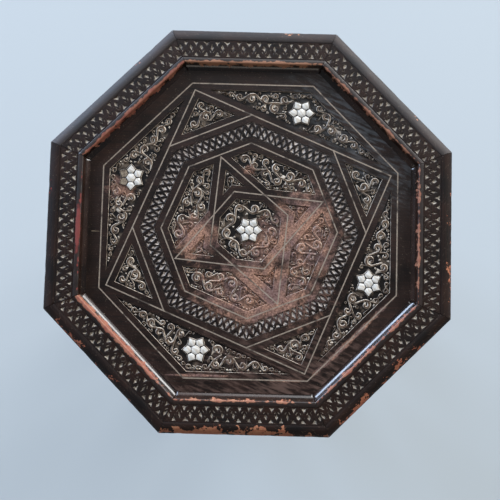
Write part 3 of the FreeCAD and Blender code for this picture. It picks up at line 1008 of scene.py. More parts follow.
    def stretched(self, tree: NodeTree, place: Node, length: float, width: float, turn: float) -> Node:
        """Add noise drawn out along the fibres.

        Args:
            tree: the material's node tree.
            place: the surface's place in millimetres.
            length: length of a streak in millimetres.
            width: width of a streak in millimetres.
            turn: angle of the streaks to the fibres, in radians.

        Returns:
            The noise node.
        """
        scales = [1 / (length if along else width) for along in self.grain.value]
        leaned = add_node(
            tree, "VectorRotate", {"Vector": place, "Axis": (0.2, 0.3, 1.0), "Angle": turn},
            rotation_type="AXIS_ANGLE",
        )
        drawn = add_node(tree, "VectorMath", {0: leaned, 1: scales}, operation="MULTIPLY")
        return add_node(tree, "TexNoise", {"Vector": drawn, "Scale": 1.0, "Detail": 3.0})

    def standing(self, tree: NodeTree, place: Node) -> Node:
        """Colour scrolls that stand on a sunk ground: the ground near black as painted shade, with old dust,
        the flanks pale as a painted highlight mixed with wear, the crests brown.

        Args:
            tree: the material's node tree.
            place: the surface's place in millimetres.

        Returns:
            The colour.
        """
        recess = add_node(tree, "Attribute", attribute_name="recess").outputs["Fac"]
        patches = add_node(tree, "TexNoise", {"Vector": place, "Scale": 1 / 4.5, "Detail": 5.0})
        drift = add_node(tree, "TexNoise", {"Vector": place, "Scale": 1 / 11, "Detail": 3.0})
        dusty = add_node(tree, "MapRange", {"Value": drift, "From Min": 0.52, "From Max": 0.72}, **SMOOTH)
        pale = add_node(tree, "MapRange", {"Value": patches, "From Min": 0.34, "From Max": 0.6})
        # Low is the ground in painted shade with dust, foot the flanks with a painted highlight and wear,
        # top the crests.
        low, foot, top = (
            add_node(tree, "Mix", {"Factor": share, "A": linear(dark), "B": linear(light)}, **COLOUR)
            for share, dark, light in (
                (dusty, self.ground, self.ground_dust),
                (pale, self.worn_flank_highlight_dark, self.worn_flank_highlight_pale),
                (pale, self.crest_dark, self.crest_pale),
            )
        )
        crest = add_node(tree, "MapRange", {"Value": recess, "From Min": 0.45, "From Max": 0.25}, **SMOOTH)
        high = add_node(tree, "Mix", {"Factor": crest, "A": foot, "B": top}, **COLOUR)
        standing = add_node(
            tree, "MapRange", {"Value": recess, "From Min": 0.98, "From Max": 0.85}, **SMOOTH
        )
        edge = add_node(
            tree, "MapRange",
            {"Value": recess, "From Min": 0.0, "From Max": 0.02, "To Min": 0.35, "To Max": 1.0},
        )
        standing = add_node(tree, "Math", {0: standing, 1: edge}, operation="MULTIPLY")
        return add_node(tree, "Mix", {"Factor": standing, "A": low, "B": high}, **COLOUR)

    def handled(self, tree: NodeTree, place: Node, layout: Layout, rough: Node) -> tuple[Node, Node]:
        """Roughen the rim outside its arris, and find where hands have dulled its outer round.

        Args:
            tree: the material's node tree.
            place: the surface's place in millimetres.
            layout: sizes of the table.
            rough: the roughness so far.

        Returns:
            The roughness and the share of dull wood.
        """
        axes = add_node(tree, "SeparateXYZ", {0: place})
        outer = add_node(
            tree, "MapRange",
            {"Value": axes.outputs["X"], "From Min": layout.band_in - 4,
             "From Max": layout.edge_round_line + 1},
            **SMOOTH,
        )
        dull = add_node(
            tree, "MapRange",
            {"Value": axes.outputs["X"], "From Min": layout.arris_line - 0.5,
             "From Max": layout.arris_line + 0.5, "To Min": self.cove_roughness, "To Max": self.roughness},
        )
        dull = add_node(tree, "Math", {0: dull, 1: rough}, operation="MAXIMUM")
        dull = add_node(
            tree, "Mix", {"Factor": outer, "A": dull, "B": self.handled_roughness}
        )
        sheen = add_node(tree, "Attribute", attribute_name="sheen").outputs["Fac"]
        lost = add_node(tree, "Math", {0: 1.0, 1: sheen}, operation="SUBTRACT")
        held = add_node(tree, "Math", {0: outer, 1: lost}, operation="MULTIPLY")
        return dull, held

    def rubbed_colour(self, tree: NodeTree, place: Node, layout: Layout, streaks: Node) -> Node:
        """Mix the two colours of rubbed wood, which on the rim is darker near its arris than at its outer
        edge.

        Args:
            tree: the material's node tree.
            place: the surface's place in millimetres.
            layout: sizes of the table.
            streaks: the noise along the fibres.

        Returns:
            The colour.
        """
        tone = add_node(tree, "Attribute", attribute_name="wear_tone").outputs["Fac"]
        patches = add_node(tree, "TexNoise", {"Vector": place, "Scale": 1 / 3.4, "Detail": 5.0})
        uneven = add_node(tree, "Math", {0: tone, 1: patches}, operation="ADD")
        uneven = add_node(tree, "Math", {0: uneven, 1: streaks}, operation="ADD")
        share = add_node(tree, "MapRange", {"Value": uneven, "From Min": 0.85, "From Max": 1.7})
        mixed = add_node(
            tree, "Mix", {"Factor": share, "A": linear(self.rubbed_red), "B": linear(self.rubbed_orange)},
            **COLOUR,
        )
        if not self.rim:
            return mixed
        axes = add_node(tree, "SeparateXYZ", {0: place})
        # Darker towards the arris, by up to a fifth.
        arris_darkening = add_node(
            tree, "MapRange",
            {"Value": axes.outputs["X"], "From Min": layout.arris_line + 2, "From Max": layout.band_out,
             "To Min": 0.8, "To Max": 1.0},
        )
        return add_node(tree, "VectorMath", {0: mixed, "Scale": arris_darkening}, operation="SCALE")

    def rubbed(self, tree: NodeTree, place: Node, layout: Layout) -> Node:
        """Find where the stain is rubbed off along edges.

        Args:
            tree: the material's node tree.
            place: the surface's place in millimetres.
            layout: sizes of the table.

        Returns:
            The share of bare wood.
        """
        flecks = add_node(
            tree, "TexNoise", {"Vector": place, "Scale": 1 / 3.6, "Detail": 4.0, "Roughness": 0.6}
        )
        patches = add_node(tree, "TexNoise", {"Vector": place, "Scale": 1 / 12, "Detail": 2.0})
        uneven = add_node(tree, "Math", {0: flecks, 1: patches}, operation="MULTIPLY")
        edge = add_node(tree, "Attribute", attribute_name="edge").outputs["Fac"]
        chance = add_node(
            tree, "MapRange", {"Value": uneven, "From Min": 0.2, "From Max": 0.3, "To Max": 0.85}, **SMOOTH
        )
        result = add_node(tree, "Math", {0: edge, 1: chance}, operation="MULTIPLY")
        if not self.rim:
            return result
        axes = add_node(tree, "SeparateXYZ", {0: place})
        low = add_node(
            tree, "MapRange",
            {"Value": axes.outputs["Z"], "From Min": layout.rim_level - 20, "From Max": layout.rim_level - 8,
             "To Min": 7.0, "To Max": 0.0},
        )
        zones = (
            ("arris_wear", layout.arris_line + 1.1, 10.0, 0.28, 0.3),
            ("outer_wear", layout.top_radius - 2.5, 40.0, 0.25, 0.4),
        )
        shift = add_node(tree, "Attribute", attribute_name="wear_shift").outputs["Fac"]
        along = add_node(tree, "Math", {0: axes.outputs["Y"], 1: shift}, operation="SUBTRACT")
        along = add_node(tree, "Math", {0: along}, operation="ABSOLUTE")
        fading = add_node(
            tree, "MapRange", {"Value": along, "From Min": 48.0, "From Max": 82.0, "To Max": 2.6}
        )
        low = add_node(tree, "Math", {0: low, 1: fading}, operation="ADD")
        for name, line, reach, gain, least in zones:
            amount = add_node(tree, "Attribute", attribute_name=name).outputs["Fac"]
            away = add_node(tree, "Math", {0: axes.outputs["X"], 1: line}, operation="SUBTRACT")
            away = add_node(tree, "Math", {0: away}, operation="ABSOLUTE")
            width = add_node(tree, "Math", {0: amount, 1: gain, 2: uneven}, operation="MULTIPLY_ADD")
            steps = (("SUBTRACT", least), ("MULTIPLY", reach), ("SUBTRACT", away), ("SUBTRACT", low))
            for operation, value in steps:
                width = add_node(tree, "Math", {0: width, 1: value}, operation=operation)
            zone = add_node(tree, "MapRange", {"Value": width, "From Min": -0.4, "From Max": 0.4}, **SMOOTH)
            result = add_node(tree, "Math", {0: result, 1: zone}, operation="MAXIMUM")
        bare = add_node(tree, "Attribute", attribute_name="patch").outputs["Fac"]
        land = (layout.arris_line + layout.band_in) / 2
        moved = add_node(
            tree, "Mapping",
            {"Vector": place, "Location": (land, 3.0, layout.rim_level), "Scale": (2.5, 25.0, 6.0)},
            vector_type="TEXTURE",
        )
        away = add_node(tree, "VectorMath", {0: moved}, operation="LENGTH")
        spread = add_node(tree, "Math", {0: flecks, 1: away}, operation="ADD")
        zone = add_node(tree, "MapRange", {"Value": spread, "From Min": 1.6, "From Max": 1.2})
        zone = add_node(tree, "Math", {0: zone, 1: bare}, operation="MULTIPLY")
        return add_node(tree, "Math", {0: result, 1: zone}, operation="MAXIMUM")

    def field_wear(self, tree: NodeTree, place: Node, layout: Layout, colour: Node) -> tuple[Node, Node]:
        """Redden the raised parts of the field that things have stood on.

        Args:
            tree: the material's node tree.
            place: the surface's place in millimetres.
            layout: sizes of the table.
            colour: the colour so far.

        Returns:
            The colour with the wear, and the share of wear whatever the height.
        """
        rough = add_node(
            tree, "TexNoise", {"Vector": place, "Scale": 1 / 9, "Detail": 6.0, "Roughness": 0.7}
        )
        total = None
        most = 0.5 if self.carved else 0.95
        for patch in WORN_PATCHES:
            share = patch.share(tree, place, layout.field_level, rough, 2.2, (2.3, 1.5), most)
            total = share if total is None else add_node(
                tree, "Math", {0: total, 1: share}, operation="MAXIMUM"
            )
        colour = self.margin_tones(tree, place, layout, colour, rough)
        recess = add_node(tree, "Attribute", attribute_name="recess").outputs["Fac"]
        raised = add_node(
            tree, "MapRange",
            {"Value": recess, "From Min": 0.03, "From Max": 0.9 if self.relief else 0.3, "To Min": 1.0,
             "To Max": 0.65 if self.relief else 0.0},
        )
        share = add_node(tree, "Math", {0: total, 1: raised}, operation="MULTIPLY")
        fine = add_node(
            tree, "TexNoise", {"Vector": place, "Scale": 1 / 1.9, "Detail": 4.0, "Roughness": 0.65}
        )
        tint = add_node(tree, "MapRange", {"Value": fine, "From Min": 0.34, "From Max": 0.68})
        broad = add_node(tree, "TexNoise", {"Vector": place, "Scale": 1 / 16, "Detail": 2.0})
        light = add_node(tree, "MapRange", {"Value": broad, "From Min": 0.38, "From Max": 0.62})
        light = add_node(
            tree, "Mix", {"Factor": light, "A": linear(self.field_purple), "B": linear(self.field_rubbed)},
            **COLOUR,
        )
        tint = add_node(tree, "Mix", {"Factor": tint, "A": linear(self.rubbed_dark), "B": light}, **COLOUR)
        return add_node(tree, "Mix", {"Factor": share, "A": colour, "B": tint}, **COLOUR), total

    def margin_tones(self, tree: NodeTree, place: Node, layout: Layout, colour: Node, rough: Node) -> Node:
        """Thin the stain on the field's margin at the front and paint a grey sheen at the back right, a
        painted reflection of the window light there.

        Args:
            tree: the material's node tree.
            place: the surface's place in millimetres.
            layout: sizes of the table.
            colour: the colour so far.
            rough: uneven noise that breaks the tones up.

        Returns:
            The colour with both tones.
        """
        zones = ((FRONT_MARGIN, self.thin_stain), (BACK_CORNER, self.margin_painted_sheen))
        streaks = self.stretched(tree, place, 22.0, 3.0, 0.4)
        uneven = add_node(tree, "MapRange", {"Value": streaks, "From Min": 0.42, "From Max": 0.6})
        for patch, tone in zones:
            share = patch.share(tree, place, layout.field_level, rough, 1.6, (2.0, 1.1), 0.9)
            share = add_node(tree, "Math", {0: share, 1: uneven}, operation="MULTIPLY")
            colour = add_node(tree, "Mix", {"Factor": share, "A": colour, "B": linear(tone)}, **COLOUR)
        return colour

    def dusty(self, tree: NodeTree, place: Node, worn: Node | None) -> tuple[Node, Node]:
        """Lay pale dust in the cuts, less of it where the field is worn.

        Args:
            tree: the material's node tree.
            place: the surface's place in millimetres.
            worn: the share of wear, if the piece has any.

        Returns:
            The share of dust and its colour.
        """
        recess = add_node(tree, "Attribute", attribute_name="recess").outputs["Fac"]
        grit = add_node(tree, "TexNoise", {"Vector": place, "Scale": 1 / 2.2, "Detail": 3.0})
        drift = add_node(tree, "TexNoise", {"Vector": place, "Scale": 1 / 9, "Detail": 4.0})
        level = add_node(tree, "Math", {0: grit, 1: 1.3, 2: recess}, operation="MULTIPLY_ADD")
        share = add_node(tree, "MapRange", {"Value": level, "From Min": 0.8, "From Max": 1.2}, **SMOOTH)
        mixed = add_node(tree, "MapRange", {"Value": drift, "From Min": 0.3, "From Max": 0.62})
        colour = add_node(
            tree, "Mix", {"Factor": mixed, "A": linear(self.dust_dark), "B": linear(self.dust)}, **COLOUR
        )
        if worn is None:
            return share, colour
        left = add_node(tree, "MapRange", {"Value": worn, "To Min": 1.0, "To Max": 0.6})
        share = add_node(tree, "Math", {0: share, 1: left}, operation="MULTIPLY")
        return share, colour


@dataclass(frozen=True)
class TinWire:
    """Soft tin wire hammered into its groove: dull and pale, with short stretches worn or stained over."""

    name: str = "hammered tin wire"
    bright: str = "#bdae9c"
    dull: str = "#76675a"
    stain: str = "#2a211c"
    stretch_mm: float = 14.0
    hammer_mm: float = 2.5

    def build(self) -> Material:
        """Make the material."""
        material, tree, place = new_material(self.name)
        marks = add_node(tree, "TexNoise", {"Vector": place, "Scale": 1 / self.hammer_mm, "Detail": 2.0})
        worn = add_node(tree, "TexNoise", {"Vector": place, "Scale": 1 / self.stretch_mm, "Detail": 4.0})
        colour = add_node(
            tree, "Mix", {"Factor": marks, "A": linear(self.dull), "B": linear(self.bright)}, **COLOUR
        )
        covered = add_node(
            tree, "MapRange", {"Value": worn, "From Min": 0.45, "From Max": 0.34, "To Max": 0.85}, **SMOOTH
        )
        colour = add_node(tree, "Mix", {"Factor": covered, "A": colour, "B": linear(self.stain)}, **COLOUR)
        metal = add_node(tree, "MapRange", {"Value": covered, "To Min": 0.3, "To Max": 0.0})
        bump = add_node(tree, "Bump", {"Height": marks, "Strength": 0.5, "Distance": 0.1 * MM})
        shader = add_node(
            tree, "BsdfPrincipled",
            {"Base Color": colour, "Metallic": metal, "Roughness": 0.5, "Normal": bump},
        )
        add_node(tree, "OutputMaterial", {"Surface": shader})
        return material


@dataclass(frozen=True)
class MotherOfPearl:
    """Polished shell cut across its layers: near white, glossy, with faint cream and grey growth bands."""

    name: str = "polished mother of pearl"
    white: str = "#eeeae2"
    cream: str = "#d9cfbf"
    grey: str = "#bfc1bd"
    band_mm: float = 2.6

    def build(self) -> Material:
        """Make the material."""
        material, tree, place = new_material(self.name)
        bands = add_node(
            tree, "TexWave",
            {"Vector": place, "Scale": 0.3 / self.band_mm, "Distortion": 7.0, "Detail": 3.0},
            bands_direction="DIAGONAL",
        )
        tints = add_node(tree, "TexNoise", {"Vector": place, "Scale": 1 / 5, "Detail": 2.0})
        colour = add_node(
            tree, "Mix", {"Factor": bands.outputs["Fac"], "A": linear(self.cream), "B": linear(self.white)},
            **COLOUR,
        )
        share = add_node(
            tree, "MapRange", {"Value": tints, "From Min": 0.5, "From Max": 0.75, "To Max": 0.8}
        )
        colour = add_node(tree, "Mix", {"Factor": share, "A": colour, "B": linear(self.grey)}, **COLOUR)
        bump = add_node(
            tree, "Bump", {"Height": bands.outputs["Fac"], "Strength": 0.15, "Distance": 0.05 * MM}
        )
        shader = add_node(
            tree, "BsdfPrincipled",
            {"Base Color": colour, "Roughness": 0.2, "IOR": 1.56, "Normal": bump, "Coat Weight": 0.4,
             "Coat Roughness": 0.08},
        )
        add_node(tree, "OutputMaterial", {"Surface": shader})
        return material


@dataclass(frozen=True)
class Mottled:
    """A plain dull stuff with uneven colour, such as old glue, raw pine, rusty iron or wall paint."""

    name: str
    light: str
    dark: str
    patch_mm: tuple[float, float, float]
    roughness: float
    metallic: float = 0.0
    relief_mm: float = 0.1

    def build(self) -> Material:
        """Make the material."""
        material, tree, place = new_material(self.name)
        scales = [1 / size for size in self.patch_mm]
        place = add_node(tree, "VectorMath", {0: place, 1: scales}, operation="MULTIPLY")
        patches = add_node(tree, "TexNoise", {"Vector": place, "Scale": 1.0, "Detail": 5.0})
        share = add_node(tree, "MapRange", {"Value": patches, "From Min": 0.3, "From Max": 0.7})
        colour = add_node(
            tree, "Mix", {"Factor": share, "A": linear(self.dark), "B": linear(self.light)}, **COLOUR
        )
        bump = add_node(tree, "Bump", {"Height": patches, "Strength": 0.6, "Distance": self.relief_mm * MM})
        shader = add_node(
            tree, "BsdfPrincipled",
            {"Base Color": colour, "Roughness": self.roughness, "Metallic": self.metallic, "Normal": bump},
        )
        add_node(tree, "OutputMaterial", {"Surface": shader})
        return material


@dataclass(frozen=True)
class FloorPaint:
    """Plain matt floor paint that the camera sees evened out, wholly so away from the table."""

    name: str = "matt floor paint"
    paint: str = "#c2cad0"
    evened: str = "#c3d0d9"
    least: float = 0.5
    near_mm: float = 700.0
    far_mm: float = 2200.0

    def build(self) -> Material:
        """Make the material."""
        material, tree, place = new_material(self.name)
        away = add_node(tree, "VectorMath", {0: place}, operation="LENGTH")
        share = add_node(
            tree, "MapRange",
            {"Value": away, "From Min": self.near_mm, "From Max": self.far_mm, "To Min": self.least},
            **SMOOTH,
        )
        path = add_node(tree, "LightPath")
        share = add_node(tree, "Math", {0: share, 1: path.outputs["Is Camera Ray"]}, operation="MULTIPLY")
        matt = add_node(tree, "BsdfPrincipled", {"Base Color": linear(self.paint), "Roughness": 0.85})
        even = add_node(tree, "Emission", {"Color": linear(self.evened), "Strength": 1.0})
        mixed = add_node(tree, "MixShader", {0: share, 1: matt, 2: even})
        add_node(tree, "OutputMaterial", {"Surface": mixed})
        return material


@dataclass
class Finishes:
    """All finishes of the table, made once."""

    field: Material
    field_relief: Material
    field_carving: Material
    rim: Material
    rim_carving: Material
    upright: Material
    upright_carving: Material
    sideways: Material
    rail_carving: Material
    wire: Material
    pearl: Material
    dark_mastic: Material
    pale_mastic: Material
    pine: Material
    iron: Material

    @classmethod
    def build(cls, layout: Layout) -> "Finishes":
        """Make every finish for a table of these sizes."""
        return cls(
            field=StainedWalnut("waxed walnut field", Grain.OUTWARD).build(layout),
            field_relief=StainedWalnut(
                "walnut field carved in relief", Grain.OUTWARD, relief=True
            ).build(layout),
            # The ring gets a darker stain than the plain field: painted shade for the shade between its deep
            # chips.
            field_carving=StainedWalnut(
                "walnut field carved with chips", Grain.OUTWARD, carved=True,
                dark="#090605", warm="#21150f", dust="#c6bab0", dust_dark="#6f6258",
            ).build(layout),
            rim=StainedWalnut("waxed walnut rim", Grain.SIDEWAYS, rim=True, gloss=0.72).build(layout),
            rim_carving=StainedWalnut(
                "carved walnut rim", Grain.SIDEWAYS, carved=True, rim=True,
                dust="#b3a898", dust_dark="#61564a",
            ).build(layout),
            upright=StainedWalnut("waxed walnut post", Grain.UPRIGHT).build(layout),
            upright_carving=StainedWalnut("carved walnut arch", Grain.UPRIGHT, carved=True).build(layout),
            sideways=StainedWalnut("waxed walnut rail", Grain.SIDEWAYS).build(layout),
            rail_carving=StainedWalnut("carved walnut rail", Grain.SIDEWAYS, carved=True).build(layout),
            wire=TinWire().build(),
            pearl=MotherOfPearl().build(),
            dark_mastic=Mottled("dark shellac filler", "#3a2f28", "#1c1613", (2.0, 2.0, 2.0), 0.6).build(),
            pale_mastic=Mottled("dry pale mastic", "#9c8d78", "#5e5043", (1.6, 1.6, 1.6), 0.9).build(),
            pine=Mottled("aged bare pine", "#a67a4c", "#6b4629", (3.0, 60.0, 3.0), 0.75).build(),
            iron=Mottled("forged iron", "#4a423c", "#241e1b", (2.5, 2.5, 2.5), 0.6, 0.8).build(),
        )


# Pieces


@dataclass(frozen=True)
class Wear:
    """How one side of the rim is rubbed: on the arris and the outer edge, from red to orange.

    It may also have a sheen left outside, and a patch rubbed bare in its middle. The wear fades away from a
    place. The names are those that the finish reads.
    """

    arris_wear: float = 0.0
    outer_wear: float = 0.0
    wear_tone: float = 0.3
    sheen: float = 0.0
    patch: float = 0.0
    wear_shift: float = 0.0


@dataclass
class Workshop:
    """Turns meshes into pieces of the table and reports each."""

    nodes: dict[str, bpy.types.Object]
    finishes: Finishes

    def copy_of(self, node: str) -> BMesh:
        """Copy a CAD node's mesh with its flat faces whole.

        Args:
            node: the node's name.

        Returns:
            The mesh, with a layer named edge on its face corners.
        """
        bm = bmesh.new()
        bm.from_mesh(self.nodes[node].data)
        bmesh.ops.remove_doubles(bm, verts=bm.verts[:], dist=0.002 * MM)
        bmesh.ops.dissolve_limit(
            bm, angle_limit=math.radians(0.6), verts=bm.verts[:], edges=bm.edges[:], delimit=set()
        )
        bm.loops.layers.float.new("edge")
        return bm

    def round_edges(
        self, bm: BMesh, edges: list[BMEdge], size: float, steps: int = 2, rubbed: float = 1.0
    ) -> None:
        """Round some edges and mark the new faces as rubbed.

        Args:
            bm: the mesh.
            edges: edges to round.
            size: width of the rounding in millimetres.
            steps: number of faces across it.
            rubbed: how much the new faces are marked as rubbed.
        """
        made = bmesh.ops.bevel(
            bm, geom=edges, offset=size * MM, offset_type="OFFSET", affect="EDGES",
            segments=steps, profile=0.5, material=-1, clamp_overlap=True,
        )
        layer = bm.loops.layers.float["edge"]
        for face in made["faces"]:
            for corner in face.loops:
                corner[layer] = rubbed

    def sharp_edges(self, bm: BMesh, least: float = 35.0) -> list[BMEdge]:
        """List the edges that stand out at more than a least angle in degrees."""
        limit = math.radians(least)
        inner = [edge for edge in bm.edges if len(edge.link_faces) == 2]
        return [edge for edge in inner if edge.calc_face_angle_signed() > limit]

    def piece(
        self,
        name: str,
        bm: BMesh,
        material: Material,
        slot: Slot,
        replaced: tuple[str, ...] = (),
        smooth: float = 0.0,
        facts: dict[str, float] | None = None,
    ) -> bpy.types.Object:
        """Make a piece of the table from a mesh.

        Args:
            name: the piece's name.
            bm: its mesh, which is freed.
            material: its finish.
            slot: the record's slot of that finish; not used.
            replaced: CAD nodes that it stands for.
            smooth: greatest angle in degrees over which its faces are shaded as one.
            facts: numbers that its finish reads, the same all over the piece.

        Returns:
            The piece.
        """
        mesh = bpy.data.meshes.new(name)
        bm.to_mesh(mesh)
        bm.free()
        if smooth:
            mesh.shade_smooth()
            mesh.set_sharp_from_angle(angle=math.radians(smooth))
        for fact, value in (facts or {}).items():
            layer = mesh.attributes.new(fact, "FLOAT", "POINT")
            layer.data.foreach_set("value", [value] * len(mesh.vertices))
        mesh.materials.append(material)
        piece = bpy.data.objects.new(name, mesh)
        bpy.context.scene.collection.objects.link(piece)
        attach(piece, ROOT)
        if replaced:
            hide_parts(*replaced)
        LOG.info("%s: %d faces", name, len(mesh.polygons))
        return piece

    def dress(self, node: str, material: Material) -> None:
        """Give a CAD node that stays as it is its finish."""
        data = self.nodes[node].data
        data.materials.clear()
        data.materials.append(material)
        LOG.info("%s: finish %s", node, material.name)


def upright_place(distance: float, turn: float) -> Matrix:
    """Find where a plane goes that stands upright and faces outwards.

    Args:
        distance: distance of the plane from the table's axis in millimetres.
        turn: direction that it faces in degrees.

    Returns:
        The matrix that takes sideways, up and outwards there.
    """
    frame = Matrix(((0, 0, 1), (1, 0, 0), (0, 1, 0))).to_4x4()
    moved = Matrix.Translation((distance * MM, 0, 0)) @ frame
    return Matrix.Rotation(math.radians(turn), 4, "Z") @ moved


@dataclass
class Rim:
    """Eight mitred mouldings with a sunk carved band."""

    layout: Layout
    workshop: Workshop
    slice_mm: float = 3.0
    arris_round: float = 1.3
    edge_round: float = 0.7
    mitre_gap: float = 0.2
    band_period: float = 10.4
    wear: tuple[Wear, ...] = (
        Wear(0.46, 0.45, 0.4),
        Wear(0.5, 0.12, 0.5, 1.0),
        Wear(0.76, 0.25, 0.8, 0.7),
        Wear(0.8, 0.1, 0.2, 1.0, wear_shift=-5.0),
        Wear(0.15, 0.15, -0.7, patch=1.0),
        Wear(0.9, 0.5, 0.25, 0.1, wear_shift=-20.0),
        Wear(0.46, 0.95, 0.45, 0.1, wear_shift=-8.0),
        Wear(0.52, 0.65, 0.3, 0.1),
    )

    def build(self) -> None:
        """Make the mouldings and their carved bands."""
        for side in range(SIDES):
            self.moulding(side)
            self.band(side)

    def facts(self, side: int) -> dict[str, float]:
        """Return what the finish reads on one side."""
        return {"side_turn": math.radians(TURN * side), **asdict(self.wear[side])}

    def moulding(self, side: int) -> None:
        """Make one moulding with rounded and slightly dented edges."""
        name = f"rim_moulding_{side + 1}"
        bm = self.workshop.copy_of(name)
        turn = Matrix.Rotation(math.radians(-TURN * side), 4, "Z")
        bmesh.ops.transform(bm, matrix=turn, verts=bm.verts[:])
        long_edges = [
            edge for edge in self.workshop.sharp_edges(bm)
            if abs(edge.verts[0].co.y - edge.verts[1].co.y) > 100 * MM
        ]
        layout = self.layout
        arris = [edge for edge in long_edges if self.near(edge, layout.arris_line, layout.rim_level)]
        others = [edge for edge in long_edges if edge not in arris]
        self.workshop.round_edges(bm, arris, self.arris_round, 3, 0.0)
        others = [edge for edge in others if edge.is_valid and edge.verts[0].co.x > 160 * MM]
        self.workshop.round_edges(bm, others, self.edge_round, 2, 0.0)
        slope = math.tan(math.radians(HALF_TURN))
        reach = layout.top_radius * slope
        for cut in np.arange(-reach + self.slice_mm, reach, self.slice_mm):
            bmesh.ops.bisect_plane(
                bm, geom=bm.verts[:] + bm.edges[:] + bm.faces[:], dist=0.001 * MM,
                plane_co=(0, cut * MM, 0), plane_no=(0, 1, 0),
            )
        for vert in bm.verts:
            short = vert.co.x * slope - abs(vert.co.y)
            if short < 0.01 * MM:
                vert.co.y -= math.copysign(self.mitre_gap * MM, vert.co.y)
            else:
                self.dent(vert, min(1.0, short / (6 * MM)), side)
        bmesh.ops.transform(bm, matrix=turn.inverted(), verts=bm.verts[:])
        self.workshop.piece(
            f"{name}_worn", bm, self.workshop.finishes.rim, Slot.WALNUT, (name,), 38.0, self.facts(side)
        )

    def near(self, edge: BMEdge, across: float, level: float) -> bool:
        """Tell whether an edge runs along a line of the section."""
        place = edge.verts[0].co
        return abs(place.x - across * MM) < 0.3 * MM and abs(place.z - level * MM) < 0.3 * MM

    def dent(self, vert: BMVert, share: float, side: int) -> None:
        """Push a point of the arris or of the outer edge in, unevenly.

        Args:
            vert: the point, in the moulding's own frame.
            share: how much of the dent applies so near the mitre.
            side: number of the moulding, which makes each differ.
        """
        layout = self.layout
        place = Vector((side * 3.1, vert.co.y / (9 * MM), vert.co.z / (20 * MM)))
        knock = max(0.0, noise.noise(place) - 0.12) + max(0.0, noise.noise(place * 3) - 0.25) * 0.5
        top = vert.co.z > (layout.rim_level - 2) * MM
        if top and abs(vert.co.x - layout.arris_line * MM) < 2 * MM:
            vert.co.z -= knock * 0.6 * share * MM
            vert.co.x += knock * 0.5 * share * MM
        elif vert.co.x > (layout.edge_round_line + 4) * MM:
            vert.co.x -= knock * 0.6 * share * MM
            if top:
                vert.co.z -= knock * 0.5 * share * MM

    def band(self, side: int) -> None:
        """Make one length of the carved band, let into its moulding."""
        layout = self.layout
        slope = math.tan(math.radians(HALF_TURN))
        low, high = layout.band_in, layout.band_out
        gap = self.mitre_gap
        edge = [
            (low, gap - low * slope), (high, gap - high * slope),
            (high, high * slope - gap), (low, low * slope - gap),
        ]
        plate = CarvedPlate(edge)
        chance = np.random.default_rng(side + 11)
        reach = (low + high) / 2 * slope
        count = int(2 * reach / self.band_period)
        first = -(count - 1) / 2 * self.band_period
        for index in range(count + 1):
            at = first + (index - 0.5) * self.band_period
            self.flame(plate, at, chance)
            if index < count:
                self.teeth(plate, at + self.band_period / 2, chance)
        turn = Matrix.Rotation(math.radians(TURN * side), 4, "Z")
        place = turn @ Matrix.Translation((0, 0, layout.rim_level * MM))
        bm = plate.build(layout.band_depth - layout.plate_gap, place)
        carving = self.workshop.finishes.rim_carving
        self.workshop.piece(f"rim_band_{side + 1}", bm, carving, Slot.WALNUT, facts=self.facts(side))

    def teeth(self, plate: CarvedPlate, at: float, chance: np.random.Generator) -> None:
        """Cut a pair of three-cornered chips with their bases on the band's two edges.

        Args:
            plate: the band.
            at: place along the side.
            chance: source of small differences.
        """
        for base, tip in ((self.layout.band_in + 0.9, 5.8), (self.layout.band_out - 0.9, -5.4)):
            shift, half = chance.uniform(-0.9, 0.9), chance.uniform(2.2, 3.8)
            middle = at + shift
            point = middle + chance.uniform(-0.4, 0.4)
            corners = [(base, middle - half), (base + tip, point), (base, middle + half)]
            plate.notches.append(Notch(corners, (base + tip * 0.3, middle), 0.95))

    def flame(self, plate: CarvedPlate, at: float, chance: np.random.Generator) -> None:
        """Cut a leaning flame-shaped chip with two small wings in the band's middle.

        Args:
            plate: the band.
            at: place along the side.
            chance: source of small differences.
        """
        middle = (self.layout.band_in + self.layout.band_out) / 2 + 0.9
        lean = chance.uniform(-0.4, 1.1)
        half = chance.uniform(1.5, 2.4)
        corners = [
            (middle - 3.4, at - lean),
            (middle + 0.8, at - half),
            (middle + 4.4, at + lean),
            (middle + 0.4, at + half),
        ]
        plate.notches.append(Notch(corners, (middle + 0.6, at), 1.05))
        for hand in (-1, 1):
            wing = [
                (middle - 5.6, at + hand * 0.9),
                (middle - 3.9, at + hand * 0.8),
                (middle - 1.4, at + hand * 2.5),
                (middle - 2.6, at + hand * 2.9),
            ]
            plate.notches.append(Notch(wing[::hand], (middle - 3.2, at + hand * 1.9), 0.7))


